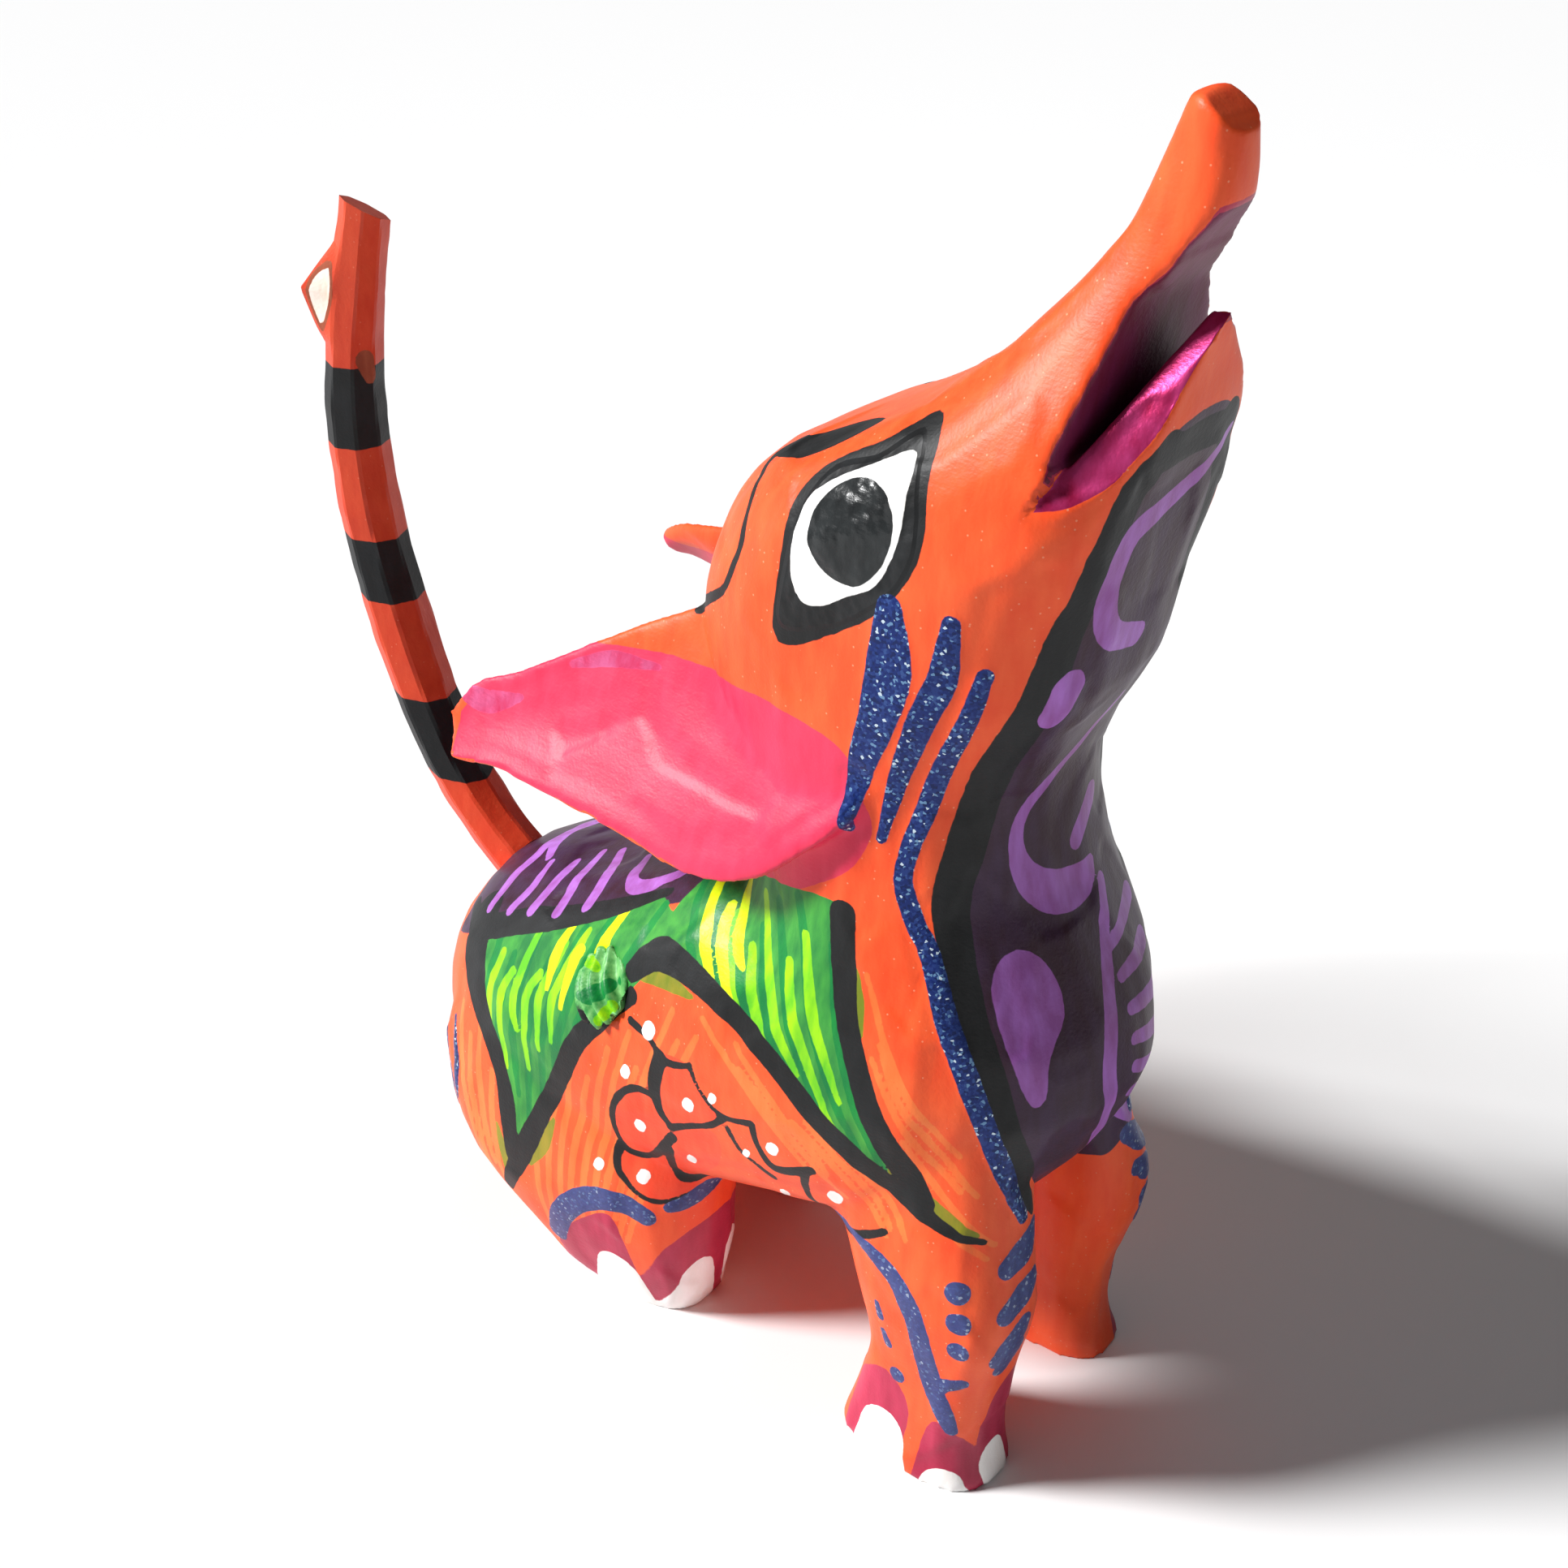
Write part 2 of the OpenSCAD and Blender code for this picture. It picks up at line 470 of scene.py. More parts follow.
    def patch(self, patch: Patch, flip: bool = False) -> None:
        """Fills one shape, or its mirror image.

        Args:
            patch: The shape.
            flip: Whether it goes on the other side of the figure.
        """
        outline = np.array(patch.outline, float)
        if patch.smooth:
            outline = smooth_line(patch.outline, self.outline_step, closed=True)
        side = patch.side
        if flip:
            side, outline = self.flipped(side, outline)
        depth = self.points @ -side.look
        facing = self.normals @ -side.look
        reach = (depth > patch.depth[0]) & (depth < patch.depth[1]) & self.on_part(patch.part)
        near = np.where(reach & (facing > patch.facing - self.turn_reach))[0]
        inside = inside_distance(self.points[near][:, side.axes], outline)
        inside = np.minimum(inside, (facing[near] - patch.facing) * self.turn_fade)
        coat = self.layer(patch.paint)
        coat[near] = np.maximum(coat[near], inside)

    def paint(self, motifs: Sequence[Stroke | Patch]) -> None:
        """Paints motifs in order, with their mirror images where they have them.

        Args:
            motifs: The strokes and patches.
        """
        for motif in motifs:
            apply = self.stroke if isinstance(motif, Stroke) else self.patch
            apply(motif)
            if motif.mirrored:
                apply(motif, flip=True)

    def keep(self, paint: Paint, inside: Paint, past: float = 0.1) -> None:
        """Wipes off one paint wherever it strays further than past mm out of another."""
        self.layers[paint] = np.minimum(self.layer(paint), self.layer(inside) + past)

    def raised(self, paint: Paint, height: float) -> None:
        """Lifts the surface by a height in mm where a thick paint lies."""
        lift = np.clip(self.layer(paint) / self.shoulder + self.first_rise, 0, 1) * height
        self.points += self.normals * lift[:, None]

    def store(self, paints: Sequence[Paint]) -> None:
        """Writes the points and the coats to the mesh.

        Args:
            paints: Coats that the finish of this mesh reads.
        """
        for paint in paints:
            attribute = self.mesh.attributes.new(paint.value, "FLOAT", "POINT")
            attribute.data.foreach_set("value", self.layer(paint).astype(np.float32))
        move_points(self.mesh, self.points)


# Inputs of a Mix node by number: its two colours, and its two numbers.
COLOUR_1, COLOUR_2 = 6, 7
NUMBER_1, NUMBER_2 = 2, 3


@dataclass(frozen=True)
class Coat:
    """How one paint looks: its colour, a second tone mixed in by the brush, its gloss and glitter."""

    paint: Paint
    colour: str
    tone: str
    roughness: float = 0.42
    metallic: float = 0.0
    glitter: float = 0.0


@dataclass(frozen=True)
class PaintedCopal:
    """Acrylic on sanded copal wood: flat, satin colour with brush streaks over faint grain."""

    name: str
    ground: str
    tone: str
    coats: Sequence[Coat]
    # Distances between brush streaks, clouds of tone, wavers of an edge, pale flecks painted as
    # pearl glints, glitter grains, growth lines, pores and dried dimples, in mm.
    streak_mm: float = 1.1
    pearl_glints: float = 1.0
    cloud_mm: float = 9.0
    waver_mm: float = 0.9
    fleck_mm: float = 0.42
    glitter_mm: float = 0.19
    grain_mm: float = 0.5
    pore_mm: float = 0.22
    dimple_mm: float = 1.3
    # How far an edge wavers from side to side, half of how soft it is, and how deep the relief of
    # the paint is, in mm.
    waver_depth: float = 0.16
    edge_mm: float = 0.03
    relief_mm: float = 0.05
    ground_roughness: float = 0.44
    # Colour and strength of the pale flecks, which are painted glints of the pearl pigment.
    fleck_colour: str = "#FFD9B0"
    fleck_strength: float = 0.3
    # How many times deeper the dried dimples are than the brush streaks.
    dimple_depth: float = 16.0
    # Hues of the glitter grains, each from its own share of them on. The palest stand for grains that catch
    # the light: painted glints.
    glitter_and_glint_hues: Sequence[tuple[float, str]] = (
        (0.0, "#14296A"), (0.35, "#22397A"), (0.6, "#0E1F52"), (0.8, "#34508C"), (0.91, "#6E97BE"),
        (0.97, "#D4E8F4"))

    def build(self) -> bpy.types.Material:
        """Makes the material.

        Returns:
            The material, named for its paint and wood.
        """
        material, tree = new_material(self.name)
        place = add_node(tree, "ShaderNodeTexCoord").outputs["Object"]
        # A brush pulled down the figure leaves streaks about a millimetre wide.
        brushed = add_node(tree, "ShaderNodeMapping", {"Vector": place, "Scale": (1, 1, 0.25)})
        streaks = add_node(tree, "ShaderNodeTexNoise", {
            "Vector": brushed, "Scale": 1 / (self.streak_mm * MM), "Detail": 3.0})
        clouds = add_node(tree, "ShaderNodeTexNoise", {
            "Vector": place, "Scale": 1 / (self.cloud_mm * MM), "Detail": 2.0})
        # The hand that holds the brush wavers by less than a tenth of a millimetre.
        waver = add_node(tree, "ShaderNodeTexNoise", {
            "Vector": place, "Scale": 1 / (self.waver_mm * MM), "Detail": 2.0})
        shake = add_node(tree, "ShaderNodeMath", {0: waver, 1: 0.5}, operation="SUBTRACT")
        shake = add_node(tree, "ShaderNodeMath", {0: shake, 1: self.waver_depth}, operation="MULTIPLY")
        blend = add_node(tree, "ShaderNodeMath", {0: streaks, 1: clouds}, operation="ADD")
        blend = add_node(tree, "ShaderNodeMapRange", {"Value": blend, "From Min": 0.8, "From Max": 1.25})
        colour = add_node(tree, "ShaderNodeMix", {
            "Factor": blend, COLOUR_1: linear(self.ground), COLOUR_2: linear(self.tone)}, data_type="RGBA")
        colour = self.with_pearl_glints(tree, place, colour)
        rough, metal = self.ground_roughness, 0.0
        for coat in self.coats:
            edge = add_node(tree, "ShaderNodeAttribute", attribute_name=coat.paint.value).outputs["Fac"]
            edge = add_node(tree, "ShaderNodeMath", {0: edge, 1: shake}, operation="ADD")
            mask = add_node(tree, "ShaderNodeMapRange", {
                "Value": edge, "From Min": -self.edge_mm, "From Max": self.edge_mm})
            shade = add_node(tree, "ShaderNodeMix", {
                "Factor": blend, COLOUR_1: linear(coat.colour), COLOUR_2: linear(coat.tone)},
                data_type="RGBA")
            if coat.glitter:
                shade = self.glittered(tree, place, shade, coat.glitter)
            colour = add_node(tree, "ShaderNodeMix", {
                "Factor": mask, COLOUR_1: colour, COLOUR_2: shade}, data_type="RGBA")
            rough = add_node(tree, "ShaderNodeMix", {
                "Factor": mask, NUMBER_1: rough, NUMBER_2: coat.roughness})
            metal = add_node(tree, "ShaderNodeMix", {
                "Factor": mask, NUMBER_1: metal, NUMBER_2: coat.metallic})
        surface = add_node(tree, "ShaderNodeBsdfPrincipled", {
            "Base Color": colour, "Roughness": rough, "Metallic": metal, "IOR": 1.49,
            "Specular IOR Level": 0.3, "Normal": self.grain(tree, place, streaks)})
        add_node(tree, "ShaderNodeOutputMaterial", {"Surface": surface})
        return material

    def with_pearl_glints(self, tree: bpy.types.NodeTree, place: bpy.types.NodeSocket,
                colour: bpy.types.Node) -> bpy.types.Node:
        """Scatters pale flecks over the ground coat, a tenth of a millimetre across: painted glints of its
        pearl pigment.

        Args:
            tree: The material's tree.
            place: Coordinates in metres.
            colour: Colour of the paint.

        Returns:
            The colour with a fleck in a fifth of the places that could hold one.
        """
        flecks = add_node(tree, "ShaderNodeTexVoronoi", {
            "Vector": place, "Scale": 1 / (self.fleck_mm * MM)})
        near = add_node(tree, "ShaderNodeMapRange", {
            "Value": flecks.outputs["Distance"], "From Min": 0.2, "From Max": 0.1})
        chance = add_node(tree, "ShaderNodeSeparateColor", {"Color": flecks.outputs["Color"]})
        chosen = add_node(tree, "ShaderNodeMath", {0: chance, 1: 0.8}, operation="GREATER_THAN")
        both = add_node(tree, "ShaderNodeMath", {0: near, 1: chosen}, operation="MULTIPLY")
        weak = add_node(tree, "ShaderNodeMath", {0: both, 1: self.fleck_strength * self.pearl_glints},
                        operation="MULTIPLY")
        return add_node(tree, "ShaderNodeMix", {
            "Factor": weak, COLOUR_1: colour, COLOUR_2: linear(self.fleck_colour)}, data_type="RGBA")

    def glittered(self, tree: bpy.types.NodeTree, place: bpy.types.NodeSocket, colour: bpy.types.Node,
                  share: float) -> bpy.types.Node:
        """Sets glitter grains of about a fifth of a millimetre in the paint; the palest are painted glints.

        Args:
            tree: The material's tree.
            place: Coordinates in metres.
            colour: Colour of the paint.
            share: How strongly the grains show.

        Returns:
            The colour of the glittered paint.
        """
        grains = add_node(tree, "ShaderNodeTexVoronoi", {
            "Vector": place, "Scale": 1 / (self.glitter_mm * MM)})
        hue = add_node(tree, "ShaderNodeSeparateColor", {"Color": grains.outputs["Color"]})
        ramp = add_node(tree, "ShaderNodeValToRGB", {"Fac": hue})
        stops = ramp.color_ramp
        stops.interpolation = "CONSTANT"
        (_, first), (second_at, second), *others = self.glitter_and_glint_hues
        stops.elements[0].color = linear(first)
        stops.elements[1].position = second_at
        stops.elements[1].color = linear(second)
        for at, shade in others:
            stops.elements.new(at).color = linear(shade)
        return add_node(tree, "ShaderNodeMix", {
            "Factor": share, COLOUR_1: colour, COLOUR_2: ramp}, data_type="RGBA")

    def grain(self, tree: bpy.types.NodeTree, place: bpy.types.NodeSocket,
              streaks: bpy.types.Node) -> bpy.types.Node:
        """Raises brush streaks and the wood's grain, half a millimetre between lines, as bump.

        Args:
            tree: The material's tree.
            place: Coordinates in metres.
            streaks: The brush streaks.

        Returns:
            The bumped normal.
        """
        turned = add_node(tree, "ShaderNodeMapping", {"Vector": place, "Scale": (0.14, 1, 1)})
        lines = add_node(tree, "ShaderNodeTexNoise", {
            "Vector": turned, "Scale": 1 / (self.grain_mm * MM), "Detail": 3.0})
        pores = add_node(tree, "ShaderNodeTexNoise", {
            "Vector": place, "Scale": 1 / (self.pore_mm * MM), "Detail": 2.0})
        total = add_node(tree, "ShaderNodeMath", {0: lines, 1: streaks}, operation="ADD")
        total = add_node(tree, "ShaderNodeMath", {0: total, 1: pores}, operation="ADD")
        # Thick black paint in the carved eye has dried in dimples about a millimetre wide.
        eye = add_node(tree, "ShaderNodeAttribute", attribute_name=Paint.EYE.value).outputs["Fac"]
        eye = add_node(tree, "ShaderNodeMapRange", {"Value": eye, "From Min": 0, "From Max": 0.3})
        dimples = add_node(tree, "ShaderNodeTexNoise", {
            "Vector": place, "Scale": 1 / (self.dimple_mm * MM), "Detail": 1.0})
        dimples = add_node(tree, "ShaderNodeMath", {0: dimples, 1: eye}, operation="MULTIPLY")
        total = add_node(tree, "ShaderNodeMath", {0: dimples, 1: self.dimple_depth, 2: total},
                         operation="MULTIPLY_ADD")
        return add_node(tree, "ShaderNodeBump", {
            "Height": total, "Strength": 0.35, "Distance": self.relief_mm * MM})


COATS = (
    Coat(Paint.STREAK, "#F5662A", "#FA7C3C"),
    Coat(Paint.SCALE, "#F8401C", "#FF5630"),
    Coat(Paint.PURPLE, "#351628", "#402744"),
    Coat(Paint.PINK, "#E02C50", "#EA3C5E", 0.45),
    # Painted highlight along the ears: a paler, glossier pink.
    Coat(Paint.SHEEN, "#E43C68", "#F070A4", 0.28, 0.5),
    Coat(Paint.CRIMSON, "#A41C40", "#BC3052"),
    Coat(Paint.MOUTH, "#661230", "#74224E", 0.5),
    Coat(Paint.LIP, "#B01C50", "#D64486", 0.34, 0.55),
    Coat(Paint.OLIVE, "#6E7A14", "#9A8A22"),
    Coat(Paint.GREEN, "#1C7434", "#46A23C"),
    Coat(Paint.LEAF, "#006E34", "#128C38"),
    Coat(Paint.LIME, "#5CB81C", "#A4E400"),
    Coat(Paint.YELLOW, "#C8EE00", "#EEFF00"),
    Coat(Paint.BLACK, "#0E0F10", "#1A1C1E", 0.5),
    Coat(Paint.LILAC, "#94509E", "#B070CC"),
    Coat(Paint.BLUE, "#3A4278", "#525A8E", 0.4, 0.2, 0.35),
    Coat(Paint.GLITTER, "#16275E", "#2A3C78", 0.3, 0.35, 0.85),
    Coat(Paint.WHITE, "#F4F1EC", "#FFFFFF"),
    Coat(Paint.PUPIL, "#141516", "#2A2D2E", 0.24),
)


def remeshed(source: bpy.types.Object, name: str, voxel: float) -> bpy.types.Object:
    """Copies a solid's mesh and remakes it with even faces.

    Args:
        source: Object of the solid.
        name: Name of the new piece.
        voxel: Size of the faces in mm.

    Returns:
        The new piece, in place.
    """
    piece = add_piece(name, source.data.copy())
    remesh = piece.modifiers.new("remesh", "REMESH")
    remesh.mode = "VOXEL"
    remesh.voxel_size = voxel * MM
    made = with_modifier(piece)
    piece.data = made
    made.materials.clear()
    made.polygons.foreach_set("use_smooth", np.ones(len(made.polygons), bool))
    return piece


def relaxed(mesh: bpy.types.Mesh, values: np.ndarray, rounds: int, amount: float = 0.5) -> np.ndarray:
    """Evens out values between neighbouring points of a mesh.

    Args:
        mesh: The mesh.
        values: One row for each point.
        rounds: How many times.
        amount: How far each point moves to its neighbours' mean.

    Returns:
        The evened values.
    """
    ends = np.zeros(len(mesh.edges) * 2, int)
    mesh.edges.foreach_get("vertices", ends)
    a, b = ends.reshape(-1, 2).T
    count = np.bincount(a, minlength=len(values)) + np.bincount(b, minlength=len(values))
    for _ in range(rounds):
        total = np.zeros_like(values)
        for column in range(values.shape[1]):
            total[:, column] = (np.bincount(a, values[b, column], len(values))
                                + np.bincount(b, values[a, column], len(values)))
        values = values + amount * (total / np.maximum(count, 1)[:, None] - values)
    return values


RIGHT, FRONT, ROUND = Side.RIGHT, Side.FRONT, Side.ROUND

# How far towards the painter a patch reaches, in mm: the outer faces of the legs, the shoulder, the
# top of the back, the front of the chest and the front legs, and the front of the hind legs.
OUTER = (3, 20)
SHOULDER = (8, 20)
SPINE = (-1, 10.8)
CHEST = (20, 60)
HAUNCH = (-30, 13)

THROAT = (
    Patch(Paint.PURPLE, FRONT, (
        (-2.5, 82), (2.5, 82), (5, 78), (6.5, 72), (7.5, 65), (7.5, 56), (8.5, 49), (10, 42),
        (10.5, 34), (8.5, 27), (5, 22.5), (0, 20.5), (-4, 24), (-7, 28.5), (-10, 35), (-10, 42),
        (-8.5, 49), (-7.5, 56), (-7.5, 65), (-6.5, 72), (-5, 79)),
        depth=CHEST, facing=-0.1, mirrored=False),
    Stroke(Paint.BLACK, ROUND, (
        (38.5, -3.2, 80.8), (37.7, -4.4, 79), (37, -5.6, 75.5), (36.1, -6.3, 72), (34.9, -7.1, 68),
        (33.3, -7.4, 64), (31.4, -7.6, 60), (30, -7.7, 56), (29, -8, 52.5), (28.6, -8.8, 49),
        (29.5, -9.3, 45.5), (31, -9.8, 41), (32.5, -9.8, 37), (34, -9.2, 32), (35, -7.4, 27.5),
        (35.2, -6.3, 24.6)),
        (2.2, 2.8, 2.8, 2.8, 2.8, 2.8, 2.8, 2.8, 2.8, 2.6, 2.4, 2.6, 2.8, 2.6, 2, 0.8)),
    Stroke(Paint.BLACK, FRONT, ((-3.2, 80.2), (0, 80.5), (3.2, 80.2)), (2.4, 2.6, 2.4), False),
    Stroke(Paint.LILAC, FRONT, ((4.5, 79.5), (2.5, 77.5), (-1, 76), (-3.5, 75), (-4.2, 72.5), (-4, 70),
                                (-2.5, 67.7), (0.5, 66.5)), (0.8, 1.2, 1.7, 2, 2, 2, 2, 1.8), False),
    Stroke(Paint.LILAC, FRONT, ((-5.5, 65), (-5.9, 63)), (2.6, 2.2), False),
    Stroke(Paint.LILAC, FRONT, ((2.4, 61), (0.5, 58), (-2, 56), (-4, 54), (-4.6, 51.5), (-3.8, 49),
                                (-1.8, 47.3), (0.8, 46.8), (2.2, 47.6)),
           (0.5, 0.8, 1, 1.1, 1.4, 2.2, 3, 2.8, 1.2), False),
    Stroke(Paint.LILAC, FRONT, ((3.4, 52), (1, 49.8)), (1.9, 1.4), False),
    Patch(Paint.LILAC, FRONT, ((-7.3, 44.3), (-6, 45), (-4.6, 44), (-3.8, 42), (-4, 39.8), (-5.2, 38.6),
                               (-6.3, 37), (-6.8, 34.8), (-7.6, 34.4), (-8.2, 36), (-8.4, 38), (-8.4, 40.5),
                               (-8.1, 42.8)), depth=CHEST, mirrored=False),
    Stroke(Paint.LILAC, FRONT, ((3.2, 46), (1.4, 42), (-0.4, 38), (-1.3, 34), (-1, 29), (0.2, 24)),
           (1, 1.3, 1.5, 1.6, 1.5, 1.1), False),
    *(Stroke(Paint.LILAC, FRONT, ((2.2 - 0.1 * k, 42 - 2.2 * k), (6.8, 43 - 3.1 * k)), (1, 1.6), False)
      for k in range(7)),
)

FACE = (
    Patch(Paint.BLACK, RIGHT, ((25.5, 81), (22, 78.7), (18.5, 76.5), (17, 74.5), (16.6, 71), (16, 65.5),
                               (17.5, 64.8), (20.5, 66.5), (24, 69), (26, 71.5), (27, 74), (26.8, 77)),
          facing=-0.1),
    Patch(Paint.EYE, RIGHT, ((25, 80), (22, 78), (18.5, 76), (17, 71), (16.5, 66), (20.5, 67), (24, 69.5),
                             (26, 72), (26.6, 75)), facing=-0.1),
    Patch(Paint.WHITE, RIGHT, ((25, 79), (22.5, 77.8), (19.5, 76), (18, 74.5), (17.5, 72), (17.5, 69.5),
                               (18.5, 68.2), (20, 68.4), (22, 69.7), (24, 71), (25.2, 73.5), (25.4, 76)),
          facing=-0.1),
    Patch(Paint.PUPIL, RIGHT, ((22.2, 76.9), (24.1, 76.4), (24.9, 74.8), (24.5, 72.5), (22.7, 70.6),
                               (20.3, 70.7), (18.8, 72.2), (18.8, 74.2), (20.2, 76)), facing=-0.1),
    Stroke(Paint.BLACK, ROUND, ((19.8, -5.9, 78.4), (17.6, -6, 77.2), (15.3, -6.3, 76), (12.8, -6.1, 74.6)),
           (0.6, 3.1, 3.5, 1.8)),
    Stroke(Paint.BLACK, ROUND, ((13, -5.3, 75), (11.7, -6.2, 74), (11.8, -7.8, 73), (12.2, -9.3, 71.5),
                                (12.2, -10.2, 69.5), (11.8, -10.4, 68), (10.8, -10.3, 66), (8.5, -9, 64),
                                (5, -6.8, 61.5)), (1.4, 1, 0.7, 0.7, 0.7, 0.7, 0.6, 0.8, 1)),
    Stroke(Paint.GLITTER, RIGHT, ((25.2, 70), (25.2, 66), (24.3, 62), (22.8, 57.5), (22.2, 53.2)),
           (1.8, 3.1, 2.6, 1.8, 0.9)),
    Stroke(Paint.GLITTER, RIGHT, ((29.2, 70), (28.5, 66), (26.9, 62), (25.2, 57.2), (24.2, 52.7)),
           (1.2, 1.9, 1.8, 1.3, 0.7)),
    Stroke(Paint.GLITTER, ROUND, (
        (31, -10, 66.5), (29.9, -10, 63), (28, -9.6, 59), (26.8, -9.6, 55.3), (26, -10, 52.5),
        (25.8, -10.4, 50), (26.8, -10.4, 47.3), (28, -10.3, 45.3), (30, -10.7, 40.7), (31.8, -10.7, 37),
        (33.3, -10, 32.5), (34.2, -8.8, 28.3), (34.8, -7.7, 24.8)),
        (1.1, 1.3, 1.4, 1.4, 1.3, 1.3, 1.4, 1.4, 1.6, 1.6, 1.5, 1.5, 1.1)),
    # Pale pink strokes along the ears' upper edges: painted highlight.
    Stroke(Paint.SHEEN, RIGHT, ((-14, 49.8), (-11.5, 49.8), (-8.5, 51)), (1.2, 1.8, 0.6)),
    Stroke(Paint.SHEEN, RIGHT, ((-4.5, 54.6), (-1, 56), (3, 56.6)), (0.6, 1.2, 0.5)),
    Patch(Paint.PINK, RIGHT, ((-18, 53), (-12, 54), (-8, 55), (-3, 56.5), (3, 57.6), (8, 58.2), (14, 59.8),
                              (19, 59.6), (22, 58.3), (23.5, 54), (23.3, 52), (22, 49.6), (18, 46.5),
                              (12, 42), (4, 38), (-4, 39), (-10, 42), (-18, 43)), Part.EARS, facing=0.05),
)

FLANK = (
    Patch(Paint.GREEN, RIGHT, ((-11, 30.5), (-14, 28.5), (-14.6, 25.5), (-12.6, 22.6), (-10.6, 20.2),
                               (-9.2, 17), (-8.2, 11.2), (-5, 17.4), (-2.6, 22.6), (-0.6, 26.6),
                               (3, 30.8), (6, 35.5), (7, 38), (4, 38.5), (-1, 35.8), (-6, 33)), Part.TRUNK),
    Patch(Paint.GREEN, RIGHT, ((9, 42.5), (6.3, 40), (6, 37), (10.5, 36.7), (14, 36), (17.5, 34.5),
                               (21, 32.1), (24, 29.8), (27.4, 28.2), (26, 33), (24.5, 36.5), (23.1, 40),
                               (22.4, 43), (21.8, 47), (16, 46)), depth=SHOULDER),
    Stroke(Paint.BLACK, RIGHT, ((-16.5, 27.5), (-15, 25), (-13.3, 22.6), (-11.2, 20.7), (-9.8, 18.2),
                                (-9, 15), (-8.7, 10.5)), (4.2, 3.8, 2.8, 2.2, 1.8, 2, 1.4)),
    Stroke(Paint.BLACK, RIGHT, ((-10, 6.5), (-7.5, 11.5), (-5, 17), (-2.6, 22), (-0.6, 26.3), (2, 29.5),
                                (4.5, 32.5)), (1.2, 2, 1.8, 1.8, 1.9, 1.6, 1.4)),
    Stroke(Paint.BLACK, RIGHT, ((4, 34), (6.3, 36.5), (9.5, 36.8), (13, 36.4), (17, 34.9), (20.7, 32.3),
                                (24, 29.6), (27, 27.5), (30, 25.6), (32, 24.8), (34, 24.2)),
           (1.6, 2.6, 2.2, 1.9, 1.8, 1.8, 1.9, 1.8, 1.5, 0.9, 0.5)),
    Stroke(Paint.BLACK, RIGHT, ((22, 46.5), (22.7, 43), (23.4, 40), (24.8, 36.5), (26.3, 33), (28, 29.8),
                                (30, 26.5)), (2, 2, 1.8, 1.8, 1.9, 2.2, 1.6)),
    *(Stroke(Paint.OLIVE, RIGHT, points, widths) for points, widths in (
        (((27.6, 28.3), (30.6, 26.1), (33.5, 24.7)), (0.8, 1.8, 0.6)),
        (((-10.3, 13), (-9.7, 10.5), (-9.3, 8)), (0.4, 1.2, 0.5)),
        (((-6.6, 11), (-5, 13.8), (-3.7, 17)), (0.5, 1.3, 0.4)),
        (((5.2, 34.2), (7.6, 35.2), (10.5, 35.4)), (0.6, 1.3, 0.5)),
        (((23.6, 43), (24.2, 40.8), (24.8, 38.6)), (0.5, 1, 0.4)))),
)


# The strokes of a fan start and end unevenly, by this share of their way and with this turn from
# one to the next. They begin at this share of their width, and end this wide in mm.
FAN_UNEVEN = 0.06
FAN_TURN = 2.4
FAN_START = 0.8
FAN_END = 0.5


def fan(paint: Paint, tops: tuple[Point, Point], tip: Point, count: int, run: tuple[float, float],
        width: float, bow: float = 0.0) -> list[Stroke]:
    """Strokes that start along an edge and all lean towards one tip.

    Args:
        paint: Their paint.
        tops: Both ends of the edge, in mm.
        tip: The tip they lean towards.
        count: How many.
        run: Shares of the way to the tip where they start and end.
        width: Their greatest width in mm.
        bow: How far their middles bow sideways.

    Returns:
        The strokes.
    """
    strokes = []
    first, last, end = (np.array(p, float) for p in (*tops, tip))
    for k in range(count):
        top = first + (last - first) * k / max(count - 1, 1)
        uneven = FAN_UNEVEN * math.sin(FAN_TURN * k)
        line = [top + (end - top) * share for share in (run[0] + uneven, sum(run) / 2, run[1] + uneven)]
        line[1] = line[1] + np.array((bow, 0))
        strokes.append(Stroke(paint, RIGHT, tuple(map(tuple, line)), (width * FAN_START, width, FAN_END)))
    return strokes


def leaf_strokes() -> list[Stroke]:
    """The strokes that fill both green leaves, dark first and light over them.

    Returns:
        Strokes that run from each leaf's upper edge to its tip.
    """
    rear, rear_tip = ((-12.5, 28.4), (4, 36.4)), (-7.6, -4)
    front, front_tip = ((7, 41), (21, 46)), (33, 12)
    return [
        *fan(Paint.LEAF, rear, rear_tip, 8, (0, 0.45), 1, -0.6),
        *fan(Paint.LIME, ((-11.6, 28.6), (-2.4, 33.4)), rear_tip, 6, (0.03, 0.27), 0.95, -0.9),
        *fan(Paint.YELLOW, ((-4.6, 32.6), (0.4, 35)), rear_tip, 3, (0, 0.12), 1.2, -0.3),
        *fan(Paint.LEAF, front, front_tip, 7, (0, 0.5), 1, -0.6),
        *fan(Paint.LIME, ((11, 42), (19, 44.4)), front_tip, 5, (0.03, 0.36), 0.95, -0.5),
        *fan(Paint.YELLOW, ((8.4, 41.8), (11.4, 43)), front_tip, 3, (0, 0.19), 1.1, -0.4)]


def flank_streaks() -> list[Stroke]:
    """The dry yellow-orange brush strokes over the flank and the shoulder.

    Returns:
        Strokes that follow the curve of the body.
    """
    return [
        *fan(Paint.STREAK, ((-5, 21), (12, 34)), (-5, -16), 10, (0, 0.5), 0.7, -0.8),
        *fan(Paint.STREAK, ((12, 34.5), (24, 29)), (44, 4), 6, (0, 0.28), 0.7, 0.5),
        *fan(Paint.STREAK, ((24.5, 43), (29, 29)), (42, 14), 5, (0, 0.42), 0.6, -0.6),
        *fan(Paint.STREAK, ((-16, 21), (-11, 19)), (-9, -6), 4, (0, 0.5), 0.8, -0.4)]


